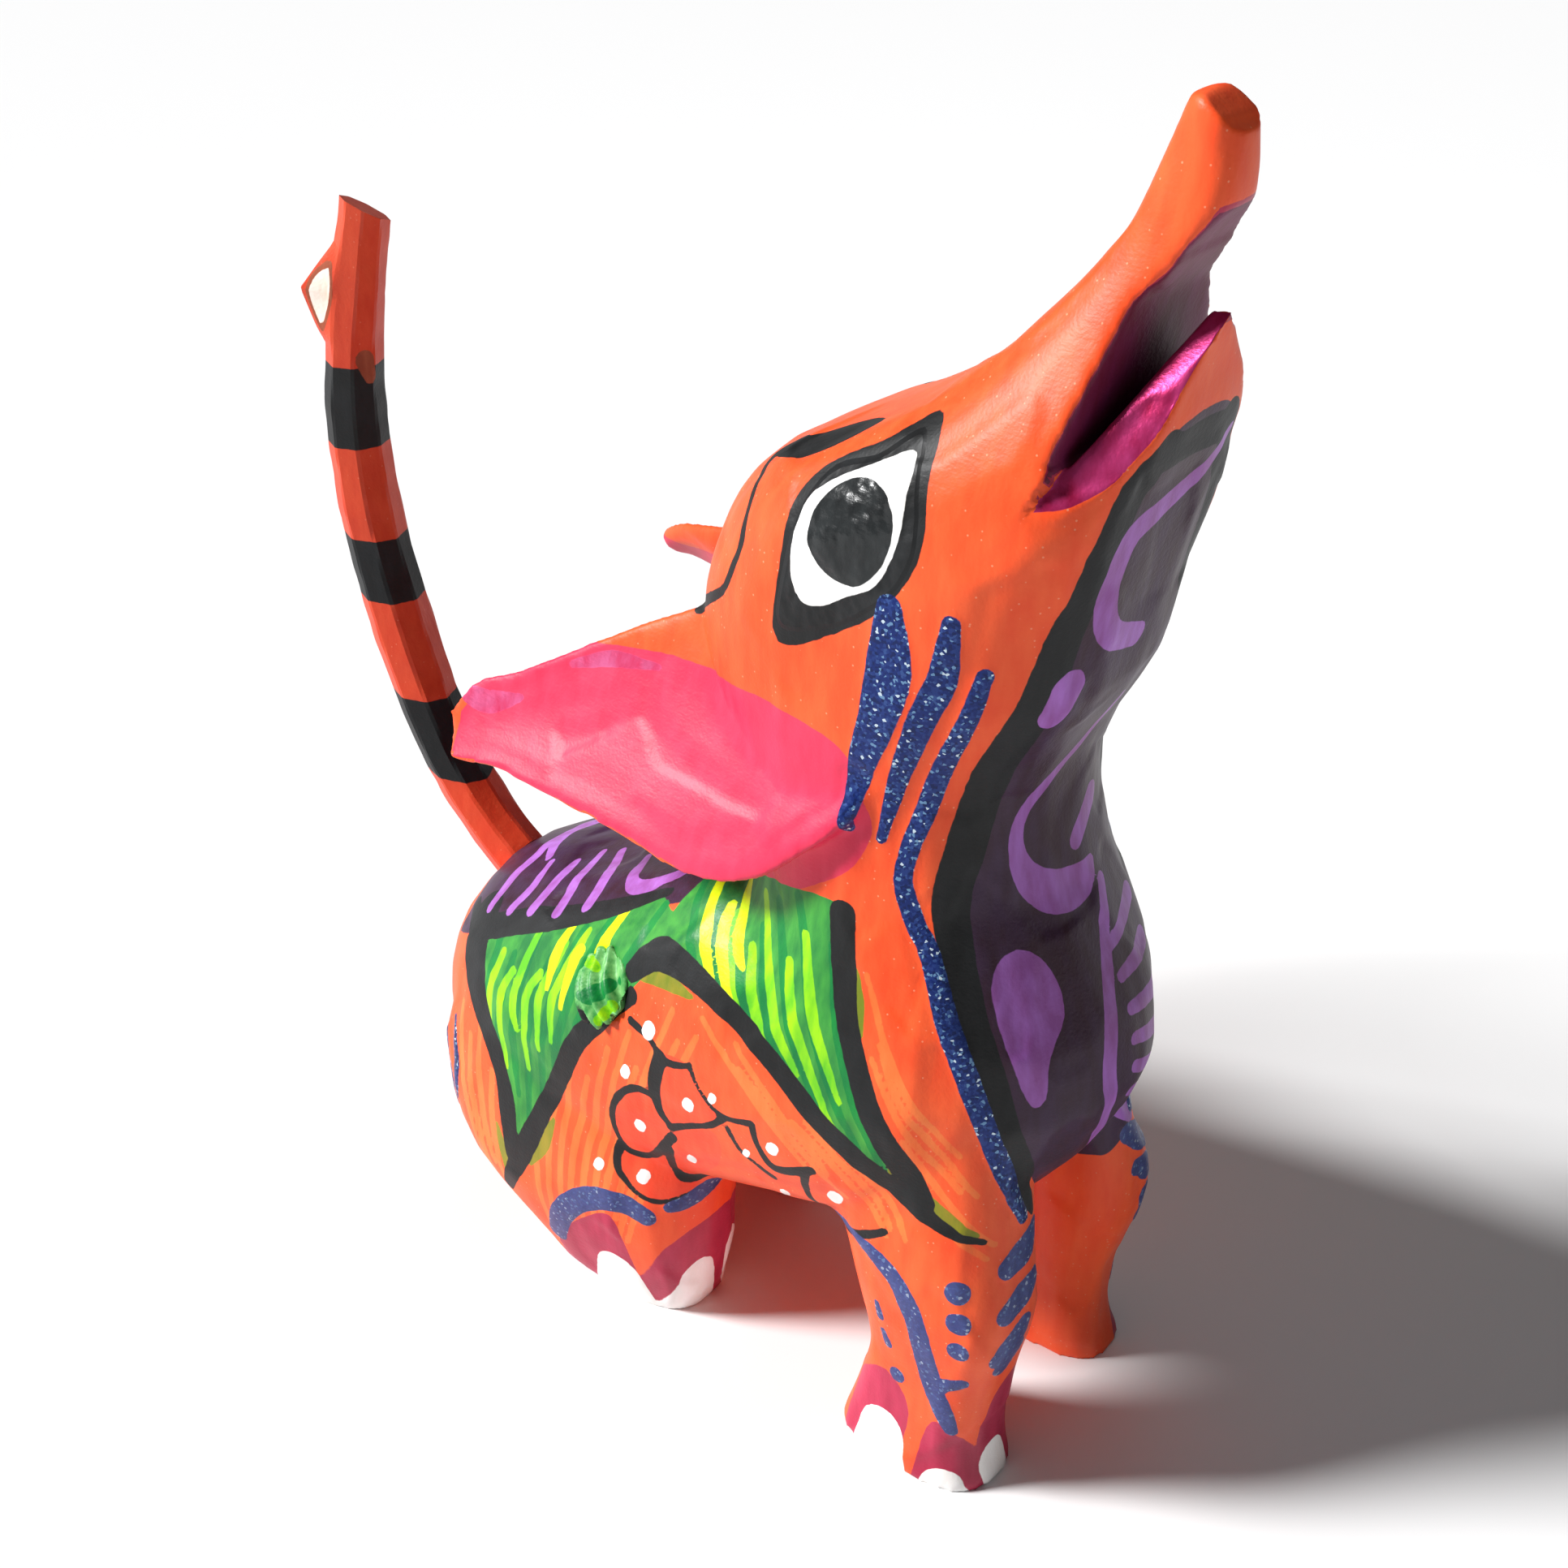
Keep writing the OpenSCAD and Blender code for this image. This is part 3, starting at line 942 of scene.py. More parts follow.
SCALES = (
    Patch(Paint.SCALE, RIGHT, ((8, 29.5), (11, 30), (12, 28), (14.2, 27), (12, 25), (8.7, 23), (7.6, 26))),
    Patch(Paint.SCALE, RIGHT, ((7.3, 25), (4.9, 24.6), (3, 22.3), (2.6, 19), (3.6, 17.3), (6.1, 18.3),
                               (8.4, 21.7))),
    Patch(Paint.SCALE, RIGHT, ((8.5, 22), (12.5, 24.8), (13, 22), (10, 18), (7.2, 17))),
    Patch(Paint.SCALE, RIGHT, ((2.6, 17), (2.8, 15), (4, 13.5), (6, 13), (8, 15), (6.5, 18))),
    Stroke(Paint.BLACK, RIGHT, ((4.8, 30.6), (6.8, 30.2), (8.7, 29.2), (11, 30)), (0.8, 0.6, 0.8, 0.4)),
    Stroke(Paint.BLACK, RIGHT, ((8.1, 29.3), (7.4, 26.5), (7.6, 24.3), (8.6, 22.8)), (1.3, 1.3, 0.9, 0.7)),
    Stroke(Paint.BLACK, RIGHT, ((8.5, 22.7), (10.5, 24), (12.6, 25.3), (14.1, 26.9)), (0.8, 0.6, 0.6, 0.7)),
    Stroke(Paint.BLACK, RIGHT, ((11, 30.2), (11.8, 28.4), (14, 27), (16.7, 27.8)), (0.5, 0.5, 0.6, 0.6)),
    Stroke(Paint.BLACK, RIGHT, ((7.4, 25.2), (5.4, 25), (3.4, 23), (2.4, 20), (3.2, 17.4), (5.5, 17.6),
                                (8.5, 21.7)), (0.7, 0.7, 0.7, 0.6, 0.6, 0.8, 0.9)),
    Stroke(Paint.BLACK, RIGHT, ((2.6, 17.4), (2.6, 15.4), (3.9, 13.5), (5.9, 12.9), (7.5, 13.8)),
           (0.8, 0.7, 0.5, 0.5, 0.4)),
    Stroke(Paint.BLACK, RIGHT, ((7.9, 20), (6.9, 16.5), (7.8, 15.2), (10, 17)), (0.9, 0.8, 0.9, 0.4)),
    Stroke(Paint.BLACK, RIGHT, ((16.7, 27.8), (17, 25.6), (18.3, 24), (21.5, 25.7)), (0.7, 0.6, 0.9, 0.8)),
    Stroke(Paint.BLACK, RIGHT, ((14.3, 26), (15.1, 24.2), (16.6, 23.3), (17.6, 22.5)), (0.6, 0.5, 0.5, 0.7)),
    Stroke(Paint.BLACK, RIGHT, ((21, 25.3), (20.3, 22), (21.5, 20.2), (24, 20.4), (27.2, 22.6)),
           (0.8, 0.6, 0.6, 0.8, 0.6)),
    *(Stroke(Paint.WHITE, RIGHT, ((x, z), (x - 0.2, z - 0.45)), (size, size)) for x, z, size in (
        (6.8, 31, 1.2), (4.6, 26.3, 0.9), (10.8, 26.5, 1), (13.2, 28.4, 0.7), (5.4, 21.3, 1),
        (1, 15.2, 0.9), (9.8, 20, 0.8), (4.7, 15.3, 1), (18.4, 26.4, 1), (15.8, 24.4, 0.6),
        (18, 20.8, 0.8), (22.9, 23.5, 1.2))),
)

BACK = (
    Patch(Paint.PURPLE, RIGHT, ((-20, 24), (-16.3, 26.3), (-10, 30), (-1.3, 35), (3, 37.5), (8, 40.5),
                                (12, 44), (8, 46), (-10, 39), (-22, 34)),
          depth=SPINE, facing=-0.4, smooth=False),
    Stroke(Paint.BLACK, ROUND, ((-19, -7, 26), (-16.5, -9.8, 26.8), (-10, -10.2, 30.6), (-4, -10, 34),
                                (0, -9.8, 36.6), (4, -9.2, 39)), (1.4, 2.2, 2.4, 2, 1.6, 0.8)),
    Stroke(Paint.LILAC, ROUND, ((-14, 4, 31.5), (-15.5, 1, 31), (-16, -3, 30.5), (-16.2, -6.5, 29.3),
                                (-16.3, -8.6, 28)), (0.8, 1.2, 1.3, 1.2, 1)),
    *(Stroke(Paint.LILAC, ROUND, points, widths) for points, widths in (
        (((-13, -4.5, 31.5), (-12.6, -7, 30.7), (-13.2, -9, 29.2)), (0.7, 1, 1)),
        (((-10.5, -4.2, 32.7), (-10.2, -6.6, 32.3), (-10.5, -9.4, 30.7)), (0.7, 1.1, 1.1)),
        (((-8.8, -3, 33.7), (-8, -6.4, 33.4), (-7.5, -9.5, 32)), (0.7, 1.1, 1.2)),
        (((-6.7, -3, 34.7), (-4.8, -6.7, 35), (-4.5, -9.2, 33.8)), (0.8, 1.3, 1.3)))),
    Stroke(Paint.LILAC, ROUND, ((-2.4, -4.5, 36.7), (-1, -7.8, 36.6), (1.6, -8.3, 38), (5, -7.2, 40.4)),
           (0.8, 1.4, 1.2, 0.6)),
    Stroke(Paint.GLITTER, RIGHT, ((-17, 19), (-16, 15.5), (-16, 12)), (0.6, 1, 0.5)),
    Stroke(Paint.GLITTER, RIGHT, ((-18.5, 17), (-17.5, 13.5), (-17, 10.5)), (0.5, 0.9, 0.5)),
)

LEGS = (
    Stroke(Paint.BLUE, RIGHT, ((22, 20.5), (24.7, 20.4), (26.7, 20), (28.5, 19), (29.6, 17.4), (30.4, 15.3),
                               (30.9, 12.9), (31.5, 10.3), (32.3, 8.2), (33, 6.3)),
           (0.6, 1, 1.4, 1.6, 1.8, 1.9, 1.9, 1.9, 1.7, 1.1)),
    Stroke(Paint.BLUE, RIGHT, ((32, 10.6), (33.8, 11.6)), (1.3, 1)),
    *(Stroke(Paint.BLUE, RIGHT, ((x, z),), (size,)) for x, z, size in (
        (33.2, 20.2, 1.9), (33.5, 17.6, 1.9), (33.6, 15, 1.7), (28.4, 9.2, 1.4))),
    Stroke(Paint.BLUE, RIGHT, ((26.7, 15.6), (27, 14.4)), (0.5, 0.8)),
    Stroke(Paint.BLUE, RIGHT, ((27.2, 13), (27.6, 12)), (0.6, 0.9)),
    Stroke(Paint.BLUE, ROUND, ((35.6, -6, 23.2), (35.6, -8, 22.3), (35.2, -9.6, 21.6)), (1.6, 2.3, 1.8)),
    Stroke(Paint.BLUE, ROUND, ((36, -7, 19.6), (36, -8.6, 18.9), (35.7, -10.2, 18)), (1.4, 2.2, 1.8)),
    Stroke(Paint.BLUE, ROUND, ((36, -8.4, 16.4), (36, -9.3, 15.2), (35.6, -10.6, 14)), (1.4, 2.4, 1.8)),
    Stroke(Paint.BLUE, ROUND, ((36, -9, 14), (35.8, -10, 12.6)), (2, 1.8)),
    Patch(Paint.CRIMSON, RIGHT, ((23.5, -2), (24, 5), (25.2, 7.6), (27.3, 8.9), (28.7, 8.1), (29.4, 6.8),
                                 (29.5, 5), (29.2, 3), (29, -2)), Part.LEGS, OUTER),
    Patch(Paint.WHITE, RIGHT, ((24.8, -1), (24.9, 2), (25.5, 3.8), (26.6, 4.7), (28, 4.9), (29, 3.8),
                               (29.3, 2), (29.2, -1)), Part.LEGS, OUTER),
    Patch(Paint.CRIMSON, RIGHT, ((30.3, -2), (30.6, 3), (31.2, 5.8), (32, 6.8), (33, 6.2), (34, 4.5),
                                 (34.6, 2), (34.6, -2)), Part.LEGS, OUTER, mirrored=False),
    Patch(Paint.WHITE, RIGHT, ((30.9, -1), (31.1, 0.9), (32, 1.9), (33.2, 1.9), (33.9, 1), (34.1, -1)),
          Part.LEGS, OUTER, mirrored=False),
    Patch(Paint.CRIMSON, FRONT, ((-10.6, -2), (-10.5, 4), (-10.2, 7), (-9.4, 9.5), (-7, 10.5), (-4, 8),
                                 (-4, -2)),
          Part.LEGS, CHEST, mirrored=False),
    Patch(Paint.WHITE, FRONT, ((-10.4, 1.4), (-10.1, 2.9), (-9.2, 3.6), (-8, 3.4), (-7.4, 1.5), (-7.6, -1),
                               (-9.5, -1)), Part.LEGS, CHEST, mirrored=False),
    Patch(Paint.CRIMSON, FRONT, ((8.6, -2), (9, 3), (9.8, 7), (11.4, 9.6), (13, 11), (16, 9), (16, -2)),
          Part.LEGS, CHEST, mirrored=False),
    Stroke(Paint.BLUE, ROUND, ((-4.8, -14, 4.2), (-3.6, -14.7, 7.2), (-1.6, -15, 9.9), (0.7, -14.9, 11.5),
                               (3, -14.6, 11.9), (4.8, -13.9, 11.2)), (1.8, 2.2, 2.2, 2.2, 2, 1.8)),
    Stroke(Paint.BLUE, ROUND, ((6.4, -12.8, 12.4), (7.6, -11.3, 13.2), (8.5, -9, 14.6), (8.6, -7, 16)),
           (1, 1.6, 1.5, 0.6)),
    Patch(Paint.CRIMSON, RIGHT, ((-5.5, -2), (-4.6, 4), (-1.5, 8), (1.3, 10.3), (2.2, 9.8), (2.7, 8),
                                 (3.1, 6), (3.5, 3), (3.8, -2)), Part.LEGS, OUTER),
    Patch(Paint.WHITE, RIGHT, ((-1.6, -1), (-0.8, 3.4), (0.4, 5.3), (2, 5.5), (3.2, 4.6), (3.8, 2.2),
                               (3.9, -1)), Part.LEGS, OUTER),
    Patch(Paint.CRIMSON, FRONT, ((-13, -2), (-13.4, 4), (-13, 8), (-11, 10), (-7, 10.5), (-4, 8), (-3, -2)),
          Part.LEGS, HAUNCH),
    Patch(Paint.WHITE, FRONT, ((-12, -1), (-12, 4), (-11, 6), (-9.6, 5.8), (-8.8, 3), (-8.6, -1)),
          Part.LEGS, HAUNCH),
    Patch(Paint.WHITE, FRONT, ((-7.6, 2), (-7.7, 5.6), (-6.6, 6.8), (-5.5, 5), (-5.3, 1), (-6.4, -0.5)),
          Part.LEGS, HAUNCH),
)


# How much a turn of the surface counts against distance when a knife's flats are shared out, in
# square mm, and the fewest points that a flat can have.
TURN_WEIGHT = 60
FEWEST_POINTS = 12


def facet(points: np.ndarray, normals: np.ndarray, seeds: int, limit: float, share: float) -> np.ndarray:
    """Flattens a surface into the shallow flats that a knife leaves.

    Args:
        points: Points in mm.
        normals: Their normals.
        seeds: How many flats.
        limit: Deepest cut in mm.
        share: How flat the flats are, up to 1.

    Returns:
        How far each point moves along its normal, in mm.
    """
    chance = np.random.default_rng(12)
    picked = chance.choice(len(points), seeds, replace=False)
    owner = np.zeros(len(points), int)
    nearest = np.full(len(points), FAR)
    for k, i in enumerate(picked):
        gap = ((points - points[i]) ** 2).sum(1) + TURN_WEIGHT * (1 - normals @ normals[i])
        closer = gap < nearest
        owner[closer], nearest[closer] = k, gap[closer]
    move = np.zeros(len(points))
    for k in range(seeds):
        mine = owner == k
        if mine.sum() < FEWEST_POINTS:
            continue
        facing = normals[mine].mean(0)
        facing /= np.linalg.norm(facing)
        height = (points[mine] - points[mine].mean(0)) @ facing
        move[mine] = -np.clip(height, -limit, limit) * share
    return move


def cut(points: np.ndarray, on: Point, facing: Point, where: np.ndarray) -> np.ndarray:
    """Slices points down to a plane, as one pass of a knife does.

    Args:
        points: Points in mm.
        on: A point of the plane.
        facing: The way the cut face looks.
        where: Which points the knife can reach.

    Returns:
        The points after the cut.
    """
    normal = np.array(facing, float)
    normal /= np.linalg.norm(normal)
    proud = np.maximum((points - np.array(on)) @ normal, 0) * where
    return points - proud[:, None] * normal


# Broad presses of the carver's hand: where, how far they reach, and how they move the wood, in mm.
PRESSES = (
    ((33, 12, 26), 7, (-1, -2.8, 0)), ((33, 11, 12), 8, (-1, -1.8, 0)), ((31, 11, 2), 7, (-1, -1.8, 0)),
    ((36, 0, 68), 7, (-0.7, 0, 0)), ((38, -1, 76), 6, (-1, 0, 0)), ((36, 1, 34), 8, (0.8, 0, 0)),
    ((-10, 11.5, 51), 4.5, (-0.8, 0, 1.6)), ((-13, 13.5, 46.5), 4, (0, -1.5, -2.2)),
    ((38.3, -0.5, 87.6), 2.2, (0.5, 0, 1)),
    *(press for turn in (1, -1) for press in (
        ((-14, -13 * turn, 46.3), 3.5, (0, -0.5 * turn, -1)),
        ((-14, -10.5 * turn, 51), 3, (-0.3, 0.3 * turn, 0.9)),
        ((10, -14 * turn, 46.5), 4.5, (0, 0, -1.4)), ((17, -13.5 * turn, 46.5), 4.5, (0, -0.2 * turn, -2)))))
# Inner corners that the sandpaper has rounded: x, y, z and reach in mm.
INNER_CORNERS = ((7, -9, 56, 6), (18, -11, 46, 5), (20, -11, 22, 5), (10, -9.5, 62, 4))


@dataclass
class PegHole:
    """The round hole that the tail's peg fills, in the rump and in the tail."""

    middle: np.ndarray = field(init=False)
    way: np.ndarray = field(init=False)
    radius: float = field(init=False)
    length: float = field(init=False)
    clearance: float = 0.06
    # Points count as the hole's wall this far outside its radius and past its ends, and outside
    # a core round its middle line, in mm.
    closed_in: float = 0.35
    closed_past: float = 0.3
    core: float = 0.5
    # The floor of the socket: how far round it and along it, and how much deeper it is cut, in mm.
    floor_round: float = 0.4
    floor_along: float = 0.6
    floor_cut: float = 0.25

    def __post_init__(self) -> None:
        """Finds the peg's middle, way, length and radius."""
        low, high = (np.array(corner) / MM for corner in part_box("tail_peg"))
        slide = next(joint for joint in frame["joints"] if joint["name"] == "tail_pull")
        self.middle = (low + high) / 2
        self.way = np.array(slide["axis"], float)
        self.way /= np.linalg.norm(self.way)
        self.radius = (high - low)[1] / 2 + self.clearance
        self.length = ((high - low)[0] - 2 * self.radius * abs(self.way[2])) / abs(self.way[0])

    def cleared(self, points: np.ndarray) -> np.ndarray:
        """Opens the hole again where sanding has closed it a little.

        Args:
            points: Points in mm.

        Returns:
            The points, none of them inside the peg.
        """
        away = points - self.middle
        along = away @ self.way
        out = away - along[:, None] * self.way
        reach = np.linalg.norm(out, axis=1)
        wall = (reach < self.radius + self.closed_in) & (reach > self.core)
        wall &= np.abs(along) < self.length / 2 + self.closed_past
        grown = np.where(wall, np.maximum(reach, self.radius), reach)
        points = self.middle + along[:, None] * self.way + out * (grown / np.maximum(reach, 1e-6))[:, None]
        end = reach < self.radius + self.floor_round
        end &= np.abs(along + self.length / 2) < self.floor_along
        return points - np.where(end, self.floor_cut, 0)[:, None] * self.way

    def drill(self, piece: bpy.types.Object) -> None:
        """Cuts the hole in a piece that has none.

        Args:
            piece: The piece.
        """
        shape = bmesh.new()
        turn = Vector(self.way).to_track_quat("Z", "Y").to_matrix().to_4x4()
        bmesh.ops.create_cone(shape, cap_ends=True, segments=64, radius1=self.radius * MM,
                              radius2=self.radius * MM, depth=(self.length + 0.2) * MM,
                              matrix=Matrix.Translation(Vector(self.middle) * MM) @ turn)
        mesh = bpy.data.meshes.new("drill")
        shape.to_mesh(mesh)
        shape.free()
        tool = add_piece("drill", mesh)
        cutter = piece.modifiers.new("hole", "BOOLEAN")
        cutter.object = tool
        cutter.operation = "DIFFERENCE"
        piece.data = with_modifier(piece)
        bpy.data.objects.remove(tool)


@dataclass
class CarvedBody:
    """The coyote's body, legs, ears and head: one block, carved, sanded and painted."""

    lip: np.ndarray = field(init=False)
    voxel: float = 0.33
    # Rounds of sanding over the whole block and in its inner corners, and over the knife's flats.
    sanding: int = 8
    corner_sanding: int = 60
    flat_sanding: int = 3
    flats: int = 210
    flat_depth: float = 0.1
    flat_share: float = 0.8
    # Heights in mm of the soles, of the first knife flats, of the jaw and of the nose's cut end.
    sole: float = 0.3
    flats_from: float = 1.5
    jaw_from: float = 76.5
    nose_from: float = 95.0
    nose_edge: Point = (36.9, 0.0, 99.9)
    nose_facing: Point = (0.6, 0.05, 0.8)
    # The mouth rises from its corner on this slope, and the jaw lies in front of it with a slack in mm.
    mouth_corner: Point = (33, 77)
    mouth_slope: float = 0.44
    mouth_slack: float = 0.5
    # The jaw's two sloping faces: an edge of each, and the ways it looks at its foot and its tip.
    lip_edge: Point = (35.3, -5.04, 82.3)
    lip_low: Point = (0.28, -0.78, 0.56)
    lip_high: Point = (-0.1, -0.72, 0.69)
    # Where a face starts to turn and how long that takes, how long the cut takes to come in and how
    # far it reaches past the middle, in mm, and how fast its paint comes in.
    lip_turn: tuple[float, float] = (80, 7)
    lip_fade: float = 3.0
    lip_overlap: float = 0.4
    lip_bite: float = 1.4
    # The mouth's side walls, seen from the flank, and the paint that lines them.
    gap: Sequence[Point] = ((32.6, 76.4), (34.6, 88.8), (37.6, 93), (40.5, 93.6), (40.5, 89.2), (37.6, 88.4))
    lining_from: float = 78.0
    lining_past: float = 0.8
    lining_sideways: float = 0.42
    lining_edge: float = 0.35

    def build(self) -> bpy.types.Object:
        """Makes the body.

        Returns:
            The painted body, riding on the figure.
        """
        piece = remeshed(frame["nodes"]["carved_body"], "painted_body", self.voxel)
        canvas = self.carve(piece.data)
        canvas.paint((*THROAT, *BACK, *FLANK, *leaf_strokes(), *flank_streaks(), *SCALES, *LEGS, *FACE))
        for paint in (Paint.LEAF, Paint.LIME, Paint.YELLOW):
            canvas.keep(paint, Paint.GREEN)
        self.paint_mouth(canvas)
        for paint, height in ((Paint.GLITTER, 0.1), (Paint.BLUE, 0.08), (Paint.WHITE, 0.05)):
            canvas.raised(paint, height)
        canvas.store([*(coat.paint for coat in COATS), Paint.EYE])
        # Sanded copal takes acrylic flat and satin, with brush streaks and a few pale flecks painted as
        # pearl glints.
        piece.data.materials.append(PaintedCopal("acrylic_on_copal", "#F44E20", "#FB602E", COATS).build())
        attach(piece, "figure")
        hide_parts("carved_body")
        return piece

    def carve(self, mesh: bpy.types.Mesh) -> Canvas:
        """Softens the block, cuts the nose and the lips, and leaves knife flats.

        Args:
            mesh: Mesh of the block.

        Returns:
            A canvas on the finished surface.
        """
        points = points_of(mesh)
        sole = points[:, 2] < self.sole
        soft = relaxed(mesh, points, self.sanding)
        soft[sole, 2] = points[sole, 2]
        points = self.bent(mesh, soft)
        points = cut(points, self.nose_edge, self.nose_facing, points[:, 2] > self.nose_from)
        points = self.cut_lips(points)
        move_points(mesh, points)
        normals = np.array([n.vector for n in mesh.vertex_normals])
        move = facet(points, normals, self.flats, self.flat_depth, self.flat_share)
        move = relaxed(mesh, move[:, None], self.flat_sanding)[:, 0]
        move *= np.clip(points[:, 2] / self.flats_from, 0, 1)
        move_points(mesh, PegHole().cleared(points + normals * move[:, None]))
        return Canvas(mesh)

    def bent(self, mesh: bpy.types.Mesh, points: np.ndarray) -> np.ndarray:
        """Bends the even block into the uneven one that a hand carved, and rounds its inner corners.

        Args:
            mesh: Mesh of the block.
            points: Points in mm.

        Returns:
            The points, moved by a few broad presses and evened out where parts meet.
        """
        soft = relaxed(mesh, points, self.corner_sanding)
        share = np.zeros(len(points))
        for x, y, z, reach in INNER_CORNERS:
            for turn in (1, -1):
                gap = np.linalg.norm(points - np.array((x, y * turn, z)), axis=1)
                share = np.maximum(share, np.exp(-(gap / reach) ** 2))
        points = points + (soft - points) * share[:, None]
        for at, reach, move in PRESSES:
            gap = np.linalg.norm(points - np.array(at), axis=1)
            points = points + np.exp(-(gap / reach) ** 2)[:, None] * np.array(move)
        return points

    def cut_lips(self, points: np.ndarray) -> np.ndarray:
        """Cuts both sloping faces of the lower jaw, and notes how deep in them each point lies.

        Args:
            points: Points in mm.

        Returns:
            The points after the cuts.
        """
        corner_x, corner_z = self.mouth_corner
        mouth = (points[:, 2] - corner_z) * self.mouth_slope - self.mouth_slack
        jaw = (points[:, 2] > self.jaw_from) & (points[:, 0] - corner_x > mouth)
        self.lip = np.full(len(points), UNPAINTED)
        turn_from, turn_run = self.lip_turn
        for turn in (1, -1):
            edge = (self.lip_edge[0], self.lip_edge[1] * turn, self.lip_edge[2])
            way = np.array((1, turn, 1))
            share = np.clip((points[:, 2] - turn_from) / turn_run, 0, 1)[:, None]
            facing = (np.array(self.lip_low) * (1 - share) + np.array(self.lip_high) * share) * way
            proud = ((points - edge) * facing).sum(1)
            near = jaw & (points[:, 1] * turn < self.lip_overlap)
            deep = np.clip((points[:, 2] - self.jaw_from) / self.lip_fade, 0, 1)
            self.lip[near] = np.maximum(self.lip[near], (proud * self.lip_bite - (1 - deep))[near])
            points = points - (np.maximum(proud, 0) * near * deep)[:, None] * facing
        return points

    def paint_mouth(self, canvas: Canvas) -> None:
        """Paints the walls of the mouth dark, and the cut faces of the lower jaw metallic.

        Args:
            canvas: The body's canvas.
        """
        sideways = np.abs(canvas.normals[:, 1])
        deep = inside_distance(canvas.points[:, [0, 2]], np.array(self.gap, float))
        deep = np.minimum(deep + self.lining_past, (self.lining_sideways - sideways) * canvas.turn_fade)
        deep = np.minimum(deep, canvas.points[:, 2] - self.lining_from)
        canvas.layer(Paint.MOUTH)[:] = deep
        crimson = canvas.layer(Paint.CRIMSON)
        crimson[:] = np.maximum(crimson, deep + self.lining_edge)
        canvas.layer(Paint.LIP)[:] = np.minimum(self.lip, (canvas.normals[:, 2] - 0.3) * 4)


def relaxed_rows(values: np.ndarray, rounds: int) -> np.ndarray:
    """Evens out rows of values along a stick.

    Args:
        values: One row for each ring of the stick.
        rounds: How many times.

    Returns:
        The evened values.
    """
    for _ in range(rounds):
        padded = np.pad(values, ((1, 1), (0, 0)), "edge")
        values = (padded[:-2] + 2 * values + padded[2:]) / 4
    return values


